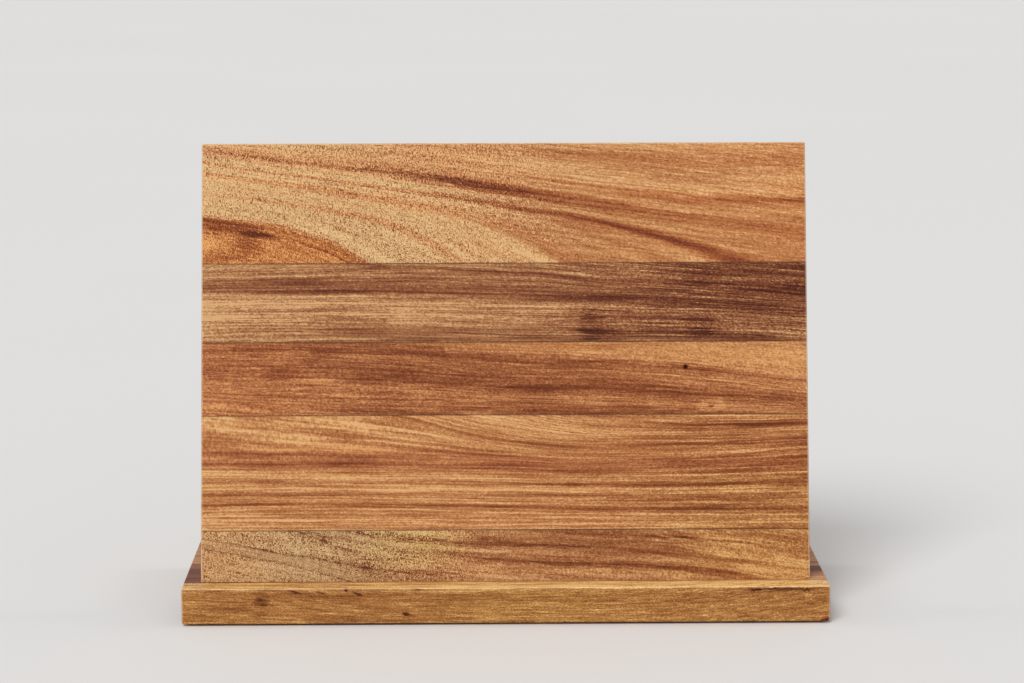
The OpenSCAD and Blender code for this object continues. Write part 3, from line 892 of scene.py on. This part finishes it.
def front_bottom():
    """Bottom stave: olive and speckled at the left, with slanting pore lines, then brown bands that fall."""
    wood = Wood("front_stave_bottom", BOARD)
    u = wood.u
    # Rim is a painted pale highlight along the eased edges.
    rim = wood.painted_edge_highlight(wood.v, BOARD_TOP, BOARD_UP) * 0.6
    v = wood.bent(50, 0.14, (14, 1, 2.2), (45, 8, 3))
    ground = wood.banded(v, (
        ("foot", (8.8, -1.2, -16, -28, -36, -40, -44), (0.47, 0.52, 0.35, 0.4, 0.4, 0.4, 0.4)),
        ("dash", (16.8, 6.8, -8, -20, -28, -32, -36), (0.44, 0.5, 0.33, 0.42, 0.4, 0.4, 0.4)),
        ("slant", (19.5, 9.8, -1.8, -10, -17, -22, -27), (0.43, 0.48, 0.32, 0.46, 0.42, 0.4, 0.4)),
        ("slope", (22, 12.8, 4.5, 0, -6, -12, -18), (0.42, 0.4, 0.27, 0.45, 0.42, 0.42, 0.4)),
        ("speck", (28, 18.4, 10.2, 5, 3.4, -0.5, -11), (0.48, 0.48, 0.48, 0.47, 0.42, 0.42, 0.5)),
        ("deep", (34, 24, 15.5, 10, 8.2, 4.6, -4), (0.48, 0.44, 0.36, 0.23, 0.18, 0.22, 0.53)),
        ("lift", (38, 28, 18.5, 14.2, 12, 8, 1), (0.48, 0.46, 0.56, 0.4, 0.38, 0.4, 0.58)),
        ("brown", (42, 31, 20.8, 18.5, 16.2, 11.3, 4), (0.48, 0.46, 0.36, 0.2, 0.2, 0.25, 0.47)),
        ("gold", (46, 35, 25, 21.5, 19.5, 15, 8), (0.48, 0.46, 0.62, 0.3, 0.26, 0.42, 0.56)),
        ("fan", (50, 39, 29, 25, 22.8, 20, 12.5), (0.48, 0.46, 0.62, 0.34, 0.22, 0.38, 0.44)),
        ("crown", (54, 43, 33, 29, 27, 25, 18), (0.48, 0.46, 0.62, 0.36, 0.3, 0.34, 0.32)),
        ("rim", (58, 47, 37, 33, 31, 30, 24), (0.48, 0.46, 0.62, 0.36, 0.3, 0.34, 0.36)),
    ))
    broken = wood.noise(v, 6, 1, 53, 1).rise(-0.4, 0.1)
    dark = wood.streaks(v, (
        ("dash", 0.9, (0.3, 0.38, 0.26, 0, 0, 0, 0)),
        ("slope", 0.9, (0.22, 0.26, 0.12, 0, 0, 0, 0)),
        ("deep", 1.6, (0, 0.2, 0.12, 0.1, 0.1, 0.12, 0)),
        ("brown", 1.4, (0, 0.1, 0.14, 0.1, 0.07, 0.08, 0)),
        ("fan", 0.9, (0, 0, 0, 0, 0.04, 0.18, 0.16)),
        ("gold", 0.6, (0, 0, 0, 0, 0, -0.12, -0.14)),
    )) * broken
    dark = dark + broken * wood.smudges(v, (
        (-106, 25.2, 10, 1.3, 0.22, -0.2), (-90, 19.6, 14, 0.9, 0.2, -0.36), (-75, 14, 11, 1, 0.22, -0.36),
        (-56, 11, 16, 0.9, 0.2), (-71, 23.6, 11, 1.1, 0.2, -0.32), (-46, 20.4, 26, 0.9, 0.16),
        (-126, 20.6, 18, 0.8, 0.2, -0.2),
    ))
    dark = dark + wood.smudges(v, (
        (-69, 8.5, 4.5, 7, 0.1), (-91, 22, 3, 5, 0.14), (-80, 23.5, 3, 4, 0.1),
        (-124, 22, 20, 2.4, 0.06, -0.15), (-40, 4.5, 26, 3, 0.06, -0.06), (-54, 25, 16, 2, -0.14),
        (-90, 3.6, 14, 2.4, -0.06, -0.2), (-18, 1.4, 16, 1.2, 0.1), (-24, 14.4, 16, 2.4, 0.14, -0.05),
        (-4, 20.6, 16, 2, 0.06, -0.03), (-18, 22.2, 15, 2.2, 0.12, -0.04), (14, 18, 12, 1.4, 0.06),
        (90, 14.4, 18, 1.8, 0.07, -0.08), (103, 2.6, 16, 1.8, -0.07), (-3, 16.8, 12, 1.4, -0.12, -0.03),
        (82, 17, 15, 1.5, 0.13, -0.12), (126, 20.5, 22, 2.4, 0.08, -0.15), (132, 3, 22, 4, -0.1, -0.1),
        (-103, 8, 14, 4, -0.08, -0.2), (-60, 17.5, 14, 4, -0.1), (-45, 12.4, 12, 1.4, -0.1),
        (60, 4.2, 24, 1.8, -0.08, -0.03), (88, 21.2, 14, 1.6, 0.12, -0.22), (84, 24.2, 12, 1, 0.14, -0.2),
        (84, 20.8, 10, 1.2, -0.16, -0.2), (130, 22, 20, 1.2, 0.12, -0.18), (122, 19.4, 20, 0.9, 0.1, -0.2),
        (139, 8.5, 22, 2.6, -0.06, -0.16),
    ))
    grain = wood.flow(v, foot=-28, dash=-20, slope=0, deep=10, brown=18.5, fan=25, rim=33)
    bands = wood.noise(grain, 70, 1.7, 54, 3)
    blotch = wood.noise(grain, 20, 3, 55, 2)
    fine = wood.fibres(grain, 56, 34)
    left = u.slide(-50, 20, 1, 0)
    dots = wood.specks(grain, 57)
    dashes = wood.flecks(grain, 58, 1.5)
    short = dots * left * 1.25 + dashes * (1 - left)
    ripple = grain_noise(wood.shader, u + v * 0.1, v, wood.w, 2.4, 13, 59, 1)
    ripple = ripple * wood.smudge(v, -87, 17, 30, 16, 1)
    tone = (ground - dark).above(0.04) * (bands * 1.2 + blotch + fine + short * 1.1 + ripple * 1.6).exp()
    tone = tone * u.slide(-60, 0, 1.16, 1.01)
    olive = u.slide(-90, -30, 0, 0.5) + u.slide(-105, -140, 0, 0.35)
    pale = wood.smudge(v, -46, 18, 34, 14, 1)
    ochre = u.slide(60, 110)
    cool = u.slide(-70, -50, 0.6, 0) * u.slide(-140, -105)
    glazes = ((cool, (0.93, 1, 1.06)), (pale, (0.98, 1.07, 0.95)), (ochre, (1, 0.98, 0.82)))
    return wood.finish(("olive", "amber"), tone, wood.glue, 0.7 + short * 0.4, olive, glazes, rim)


def base_front():
    """Front stave of the base: golden brown, with a cracked top edge at the right and small dark knots.

    The face coordinate runs up the front and goes on over the top, so that the grain turns the edge.
    """
    wood = Wood("base_stave_front", BASE)
    u = wood.u
    face = wood.v - (BASE_THICK - wood.w)
    fray = wood.noise(face + u * 0.05, 9, 1, 61, 2) * 1.8
    sway = grain_noise(wood.shader, u, face, 0, 40, 9, 62, 1) * 4
    wavy = grain_noise(wood.shader, u + face * 1.5, face, 0, 5, 9, 63, 1) * u.slide(20, 120, 0.6, 2.4)
    face_bent = face + fray + sway + wavy
    ground = wood.banded(face_bent, (
        ("foot", -17, (0.4, 0.4, 0.34, 0.42, 0.4, 0.4, 0.4)),
        ("low", -13, (0.33, 0.33, 0.33, 0.39, 0.37, 0.36, 0.36)),
        ("mid", (-8, -8, -8, -9, -9, -8, -8), (0.3, 0.32, 0.36, 0.36, 0.35, 0.34, 0.34)),
        ("high", -3, (0.32, 0.28, 0.3, 0.34, 0.33, 0.32, 0.3)),
        ("edge", -0.6, (0.42, 0.38, 0.4, 0.42, 0.42, 0.4, 0.36)),
        # The rows from lip on lie on the base's top side. Their much higher tones are partly the wood's own
        # tone and partly painted light from above, which makes the top side lighter than the front.
        ("lip", 1, (0.7, 0.7, 0.78, 0.88, 0.94, 0.96, 0.94)),
        ("thread", (6.5, 6.5, 6.5, 6.2, 6, 5.8, 5.6), (0.56, 0.56, 0.62, 0.72, 0.76, 0.76, 0.76)),
        ("heel", 12, (0.66, 0.66, 0.72, 0.84, 0.88, 0.9, 0.88)),
    ))
    dark = wood.streaks(face_bent, (
        ("thread", 0.9, (0.14, 0.14, 0.12, 0.08, 0.16, 0.16, 0.14)),
        ("lip", 0.6, (0, 0, 0, -0.05, 0, 0.08, 0.12)),
    ))
    dark = dark + wood.smudges(face, (
        (-120.5, -6.8, 5.6, 4, 0.16), (-121.5, -5.6, 2.6, 1.4, 0.08), (-119.5, -8.4, 2.4, 1.2, 0.08),
        (-120.5, -12.8, 3.4, 1.8, 0.12), (-104, -1.6, 4.2, 0.7, 0.28, -0.3),
        (-91.5, -2, 3.6, 0.6, 0.2, -0.25), (-73, -2.8, 3.4, 0.8, 0.32, -0.35), (-78.8, -0.6, 1.2, 1.4, 0.4),
        (-44, -0.3, 4.6, 0.6, 0.4, -0.05), (-49.4, -13, 2.2, 1.1, 0.45, -0.1),
        (-47, -13.8, 3.6, 0.5, 0.2, -0.25), (-85, -15.5, 18, 2.6, 0.1), (-86, -4.4, 34, 2.6, 0.06, -0.05),
        (96, -6, 50, 4.5, 0.03, 0.1), (145, -11, 24, 4.5, 0.04, 0.3), (158, -17.2, 5, 1.8, 0.34, 0.3),
    ))
    jag = grain_noise(wood.shader, u, 0, 0, 5, 9, 64, 3)
    crack = streak(face + 1.2 + jag * 6, 1, 1) * u.rise(112, 124) * u.rise(154, 148)
    branch = streak(face + 2.3 + jag * 5 + (u - 135) * -0.06, 0.45, 0.7)
    crack = crack.above(branch * u.rise(122, 130) * u.rise(158, 150))
    hairline = streak(face + 1.6 + (u - 146) * -0.09 + fray, 0.45, 0.6) * u.rise(144, 148)
    grain = face_bent + wood.spread((0, 5, 10, 11.5, 11, 4, -9))
    bands = wood.noise(grain, 60, 1.7, 65, 3)
    blotch = wood.noise(grain, 18, 3, 66, 2)
    fine = wood.fibres(grain, 67, 14, 0.8)
    short = wood.flecks(grain, 68, 1.4)
    tone = (ground - dark).above(0.05) * (bands * 1.5 + blotch * 1.1 + fine * 1.1 + short * 1.1).exp()
    # Darkens the crack and its hairline: partly the split wood's own dark, partly painted shade in the hollow
    # of the crack.
    tone = tone * (1 - crack.above(hairline) * 0.85)
    red = wood.smudge(face, 157.5, -17, 6, 3, 0.9)
    # Rim is a painted pale highlight along the eased edges of the base.
    rim = wood.painted_edge_highlight(face, 0, (0, 1, 0)) * 0.5
    top_side = face.rise(-0.4, 0.4)
    olive = wood.smudge(face, 10, -9, 70, 14, 0.8)
    glazes = ((1 - top_side, (1, 0.98, 0.93)), (top_side, (1, 1, 0.93)), (olive, (0.98, 1.03, 0.97)))
    return wood.finish(("bark", "ember"), tone, wood.glue, 0.7 + short * 0.4 - crack, red, glazes, rim)


def base_second():
    """Second stave of the base: dark and reddish at the left, with a dark band through the right."""
    wood = Wood("base_stave_second", BASE)
    u = wood.u
    v = wood.v + wood.noise(wood.v, 20, 1.2, 71, 2) * 1.5 + (wood.w - BASE_THICK) * 0.4
    ground = wood.banded(v, (
        ("front", 13, (0.17, 0.3, 0.4, 0.4, 0.4, 0.52, 0.6)),
        ("lines", 22, (0.09, 0.25, 0.4, 0.4, 0.4, 0.5, 0.56)),
        ("near", 27, (0.2, 0.3, 0.4, 0.4, 0.4, 0.4, 0.38)),
        ("dark", 32, (0.08, 0.22, 0.35, 0.35, 0.28, 0.12, 0.07)),
        ("far", 40, (0.12, 0.22, 0.35, 0.35, 0.28, 0.13, 0.09)),
        ("light", 44, (0.25, 0.3, 0.4, 0.4, 0.4, 0.42, 0.45)),
        ("back", 50, (0.22, 0.3, 0.4, 0.4, 0.4, 0.4, 0.42)),
    ))
    dark = wood.streaks(v, (
        ("lines", 0.7, (0.06, 0.06, 0.06, 0.06, 0.06, 0.12, 0.14)),
        ("back", 1, (0.05, 0.05, 0.05, 0.05, 0.1, 0.14, 0.16)),
    ))
    bands = wood.noise(v, 120, 1.6, 72, 3)
    fine = wood.fibres(v, 73)
    short = wood.flecks(v, 74)
    tone = (ground - dark).above(0.03) * u.size().slide(120, 150, 1, 0.8)
    tone = tone * (bands * 1.8 + fine + short * 0.8).exp()
    return wood.finish(("russet", "amber"), tone, wood.glue, 0.7 + short * 0.4, u.slide(-60, 60))


# ---- Build the staves ----

BOARD_STAVES = ("bottom", "lower", "middle", "upper", "top")
SLACK_MM = 0.5  # between a steel strip and the side of its channel
SCREW_MM = 2.25  # radius of a screw's shank
SEAT_CONE_MM = 2.6  # height of a screw's countersunk seat
SHANK_GAP_MM = 0.15  # between a screw and the base; in the board it holds tight
HEAD_GAP_MM = 0.3  # between a screw's head and its bore
DOWEL_GAP_MM = 0.05
PAD_GAP_MM = 0.1
CRACK_START_MM = 122.0  # where the crack in the base begins, right of the middle
CRACK_STEP_MM = 2.1  # from one hollow of the crack to the next


def channel_cutters(node):
    """Channel for one row of magnets and its strip, if the row runs through this front stave."""
    cutters = []
    low, high = BOARD.limits(node)
    for row in ("upper", "lower"):
        strip_low, strip_high = BOARD.limits(row + "_steel_strip")
        magnet_low = BOARD.limits(row + "_magnet_1")[0]
        if low[1] < strip_low[1] < high[1]:
            slack = Vector((SLACK_MM, SLACK_MM, 0))
            start = strip_low - slack
            start[2] = magnet_low[2]
            cutters.append(box_cutter(start, strip_high + slack + Vector((0, 0, 1)), BOARD))
    return cutters


def screw_cutters(shank_gap):
    """Bores for the screws: clear below the head, a countersunk seat, and the shank."""
    low, high = BOARD.limits("base_screws")
    head = (high[2] - low[2]) / 2
    depth = (high[2] + low[2]) / 2
    cutters = []
    for u in (low[0] + head, 0, high[0] - head):
        seat = (u, low[1], depth)
        below = (u, low[1] - 3 * BASE_THICK, depth)
        cutters.append(rod_cutter(below, seat, head + HEAD_GAP_MM, BOARD))
        cutters.append(rod_cutter(seat, (u, low[1] + SEAT_CONE_MM, depth), head, BOARD, end_radius=SCREW_MM))
        cutters.append(rod_cutter(seat, (u, high[1], depth), SCREW_MM + shank_gap, BOARD))
    return cutters


def dowel_cutters():
    """Bores for the two dowels."""
    low, high = BOARD.limits("locating_dowels")
    radius = (high[2] - low[2]) / 2
    depth = (high[2] + low[2]) / 2
    spots = (low[0] + radius, high[0] - radius)
    bore = radius + DOWEL_GAP_MM
    return [rod_cutter((u, low[1], depth), (u, high[1], depth), bore, BOARD) for u in spots]


def pad_cutters(end):
    """Recesses for the two pads at the front or the rear of the base."""
    cutters = []
    for side in ("left", "right"):
        low, high = BASE.limits(f"foot_pad_{end}_{side}")
        middle = (low + high) / 2
        start = (middle[0], middle[1], low[2] - 1)
        end_point = (middle[0], middle[1], high[2])
        radius = (high[0] - low[0]) / 2 + PAD_GAP_MM
        cutters.append(rod_cutter(start, end_point, radius, BASE, 48))
    return cutters


def knot_cutters():
    """Hollow of the pin knot and slit of the eye knot, in the middle stave."""
    pin = pebble_cutter((90.3, 106.1, 0.0), (1.05, 1.0, 1.3), BOARD, 3.0)
    eye = pebble_cutter((103.1, 86.5, 0.0), (1.1, 0.35, 0.5), BOARD, 5.0)
    return [pin, eye]


def flaw_cutters():
    """Crack along the front top edge of the base, knots in its front face and a chip in its lower corner."""
    cutters = []
    for step in range(13):
        u = CRACK_START_MM + step * CRACK_STEP_MM
        drift = noise.noise(Vector((u / 5, 0.0, 4.0)))
        deep = 0.7 + 0.35 * noise.noise(Vector((u / 3, 7.0, 0.0)))
        height = BASE_THICK - 1.2 + drift * 1.5
        cutters.append(pebble_cutter((u, 0.1, height), (CRACK_STEP_MM, deep, 0.42), BASE, u))
    knots = (  # u, w, half length and half height
        (-49.4, 5.0, 1.1, 0.45),
        (-73.0, 15.2, 1.2, 0.3),
        (-78.8, 17.6, 0.4, 0.45),
        (-44.0, 17.7, 2.2, 0.22),
        (-104.0, 16.4, 1.3, 0.2),
    )
    for u, w, half_length, half_height in knots:
        cutters.append(pebble_cutter((u, 0.0, w), (half_length, 0.45, half_height), BASE, u))
    cutters.append(pebble_cutter((160.2, 0.0, 0.0), (1.5, 0.9, 0.6), BASE, 9.0))
    return cutters


def board_stave(layer, name, material):
    """One stave of the board. The foot of the two lowest is cut level, to stand on the base."""
    node = f"{layer}_stave_{name}"
    low, high = BOARD.limits(node)
    front = layer == "front"
    if name == "bottom":
        low[1] = 0
        low[2] = 0 if front else low[2]
    ease_low = (1, 0, 1 if front else 0)
    ease_high = (1, 1 if name == "top" else 0, 0 if front else 1)
    piece = stave_mesh(node, low, high, ease_low, ease_high, BOARD)
    if name == "bottom":
        for vertex in piece.data.vertices:
            u, v, w = BOARD.uvw(vertex.co)
            left = 1 - v / high[1]
            vertex.co = BOARD.point((u, v + left * w * math.tan(LEAN), w))
    if front:
        cut_away(piece, channel_cutters(node))
    if front and name in ("bottom", "lower"):
        cut_away(piece, screw_cutters(0.0))
    if front and name == "bottom":
        cut_away(piece, dowel_cutters())
    if front and name == "middle":
        cut_away(piece, knot_cutters())
    settle(piece, node, material)


def base_stave(name, material):
    """One stave of the base plate."""
    node = f"base_stave_{name}"
    low, high = BASE.limits(node)
    ease_low = (1, 1 if name == "front" else 0, 1)
    ease_high = (1, 1 if name == "rear" else 0, 1)
    piece = stave_mesh(node, low, high, ease_low, ease_high, BASE)
    if name == "front":
        cut_away(piece, flaw_cutters())
    if name == "second":
        cut_away(piece, screw_cutters(SHANK_GAP_MM) + dowel_cutters() + pad_cutters("front"))
    if name == "rear":
        cut_away(piece, pad_cutters("rear"))
    settle(piece, node, material)


FRONT_FIGURES = {
    "top": front_top,
    "upper": front_upper,
    "middle": front_middle,
    "lower": front_lower,
    "bottom": front_bottom,
}
BACK_WOODS = {  # palettes, share of the second one, and base tone
    "top": (("olive", "amber"), 0.5, 0.42),
    "upper": (("amber", "russet"), 0.4, 0.34),
    "middle": (("straw", "ember"), 0.5, 0.46),
    "lower": (("russet", "amber"), 0.2, 0.28),
    "bottom": (("walnut", "olive"), 0.4, 0.36),
}
for index, name in enumerate(BOARD_STAVES):
    board_stave("front", name, FRONT_FIGURES[name]())
    palettes, warmth, tone = BACK_WOODS[name]
    plain = plain_wood(BOARD, f"back_stave_{name}", palettes, index * 5.1 + 40, tone, warmth)
    board_stave("back", name, plain)
base_stave("front", base_front())
base_stave("second", base_second())
base_stave("third", plain_wood(BASE, "base_stave_third", ("amber", "olive"), 91.0, 0.4, 0.5))
base_stave("rear", plain_wood(BASE, "base_stave_rear", ("russet", "amber"), 97.0, 0.32, 0.5))


# ---- Finishes of the parts inside and below ----
# These parts are the CAD solids themselves, so only their surfaces are made here.


def nickel():
    """Bright nickel plate with fine rubbed scratches and dull patches."""
    shader = Shader("nickel")
    u, v, w = shader.object_place(BOARD)
    scratch = grain_noise(shader, u, v, w, 12, 0.25, 101.0, 2.0)
    cloud = grain_noise(shader, u, v, w, 7, 7, 102.0, 3.0)
    stain = cloud.rise(0.08, 0.3)
    colour = shader.blend(stain * 0.5, (0.66, 0.63, 0.57), (0.42, 0.38, 0.31))
    rough = scratch * 0.2 + cloud * 0.15 + 0.28
    return shader.finish(colour, rough, scratch + 0.5, depth_mm=0.01, metal=1.0)


def mill_steel():
    """Rolled mild steel: grey with mill lines, and light rust in patches."""
    shader = Shader("mill_steel")
    u, v, w = shader.object_place(BOARD)
    mill = grain_noise(shader, u, v, w, 40, 0.4, 111.0, 2.0)
    cloud = grain_noise(shader, u, v, w, 9, 6, 112.0, 4.0)
    rust = cloud.rise(0.05, 0.25)
    colour = shader.blend(rust * 0.7, (0.3, 0.3, 0.31), (0.2, 0.085, 0.035))
    metal = rust * -0.8 + 1
    roughness = rust * 0.3 + mill * 0.2 + 0.42
    return shader.finish(colour, roughness, mill + cloud + 0.7, depth_mm=0.03, metal=metal)


def beech():
    """Pale beech with short dark rays."""
    shader = Shader("beech")
    u, v, w = shader.object_place(BOARD)
    fibre = grain_noise(shader, v, u, w, 18, 0.5, 121.0, 3.0)
    ray = grain_noise(shader, v, u, w, 1.8, 0.35, 122.0, 1.0).rise(0.1, 0.25)
    stops = ((0.2, (0.5, 0.32, 0.17)), (0.55, (0.66, 0.47, 0.28)), (0.8, (0.75, 0.57, 0.36)))
    colour = shader.ramp(fibre + 0.5, stops)
    colour = shader.blend(ray * 0.5, colour, (0.38, 0.2, 0.1))
    return shader.finish(colour, fibre * -0.1 + 0.6, fibre - ray * 0.4 + 0.5, depth_mm=0.08)


def zinc():
    """Bluish zinc plate with faint spangle and a yellow cast in places."""
    shader = Shader("zinc")
    u, v, w = shader.object_place(BOARD)
    cloud = grain_noise(shader, u, v, w, 2.5, 2.5, 131.0, 3.0)
    stops = ((0.25, (0.36, 0.38, 0.42)), (0.5, (0.55, 0.57, 0.6)), (0.75, (0.6, 0.57, 0.46)))
    colour = shader.ramp(cloud + 0.5, stops)
    return shader.finish(colour, cloud * 0.3 + 0.34, cloud + 0.5, depth_mm=0.01, metal=1.0)


def rubber():
    """Soft grey-black rubber with a fine moulded grain and patches of dust."""
    shader = Shader("rubber")
    u, v, w = shader.object_place(BASE)
    grit = grain_noise(shader, u, v, w, 0.5, 0.5, 141.0, 2.0)
    dust = grain_noise(shader, u, v, w, 3, 3, 142.0, 3.0).rise(0.02, 0.3)
    colour = shader.blend(dust * 0.3, (0.028, 0.027, 0.026), (0.11, 0.1, 0.09))
    return shader.finish(colour, grit * 0.15 + 0.78, grit + 0.5, depth_mm=0.05, gloss=0.3)


def finish_inner_parts():
    """Gives each CAD node that shows as itself the finish of its kind."""
    finishes = {
        "magnet": nickel(),
        "steel_strip": mill_steel(),
        "dowels": beech(),
        "screws": zinc(),
        "foot_pad": rubber(),
    }
    for name, node in frame["nodes"].items():
        for key, material in finishes.items():
            if key in name:
                node.data.materials.clear()
                node.data.materials.append(material)


finish_inner_parts()


# ---- Stage, light and camera ----

CAMERA_PLACE = (-0.0146, -1.4205, 0.3712)
CAMERA_LENS_MM = 100
CAMERA_TURN = -0.745  # degrees; below 0 is to the right
CAMERA_DOWN = 9.567  # degrees below level
CAMERA_ROLL = -0.108  # degrees; below 0 leans the camera to the right


def stage_floor():
    """Plain pale floor, faintly mottled."""
    mesh = bmesh.new()
    bmesh.ops.create_circle(mesh, cap_ends=True, segments=96, radius=9)
    floor = piece_from("floor", mesh)
    shader = Shader("floor")
    place = Wire(shader, shader.node("ShaderNodeTexCoord").outputs["Object"])
    mottle = shader.noise(place, 2.0)
    colour = shader.blend(mottle + 0.5, (0.79, 0.785, 0.775), (0.82, 0.815, 0.805))
    floor.data.materials.append(shader.finish(colour, 0.75, gloss=0.15))


def sunlight(name, direction, strength, degrees):
    """Even light from one direction. A wide light gives soft shadows."""
    light = bpy.data.lights.new(name, "SUN")
    light.energy = strength
    light.angle = math.radians(degrees)
    lamp = bpy.data.objects.new(name, light)
    bpy.context.scene.collection.objects.link(lamp)
    lamp.rotation_euler = Vector(direction).to_track_quat("Z", "Y").to_euler()


def studio_light():
    """Pale surroundings, a broad soft key from the upper left, and two weak lights along the side edges."""
    world = bpy.data.worlds.new("studio")
    bpy.context.scene.world = world
    world.use_nodes = True
    background = world.node_tree.nodes["Background"]
    background.inputs["Color"].default_value = (1, 0.995, 0.985, 1)
    background.inputs["Strength"].default_value = 0.46
    sunlight("key", (-0.42, -0.9, 1.05), strength=1.72, degrees=28)
    sunlight("left_rim", (-1.0, 0.12, 0.45), strength=0.3, degrees=12)
    sunlight("right_rim", (1.0, 0.12, 0.45), strength=0.3, degrees=12)


def camera():
    """Long lens at the height and the slight turn from which the rack is seen."""
    data = bpy.data.cameras.new("camera")
    data.lens = CAMERA_LENS_MM
    data.sensor_width = 36
    data.clip_start = 0.05
    camera_object = bpy.data.objects.new("camera", data)
    bpy.context.scene.collection.objects.link(camera_object)
    camera_object.location = CAMERA_PLACE
    turn = Matrix.Rotation(math.radians(CAMERA_TURN), 3, "Z")
    tilt = Matrix.Rotation(math.radians(90 - CAMERA_DOWN), 3, "X")
    roll = Matrix.Rotation(math.radians(CAMERA_ROLL), 3, "Z")
    camera_object.rotation_euler = (turn @ tilt @ roll).to_euler()
    bpy.context.scene.camera = camera_object


stage_floor()
studio_light()
camera()
bpy.context.scene.view_settings.view_transform = "Standard"
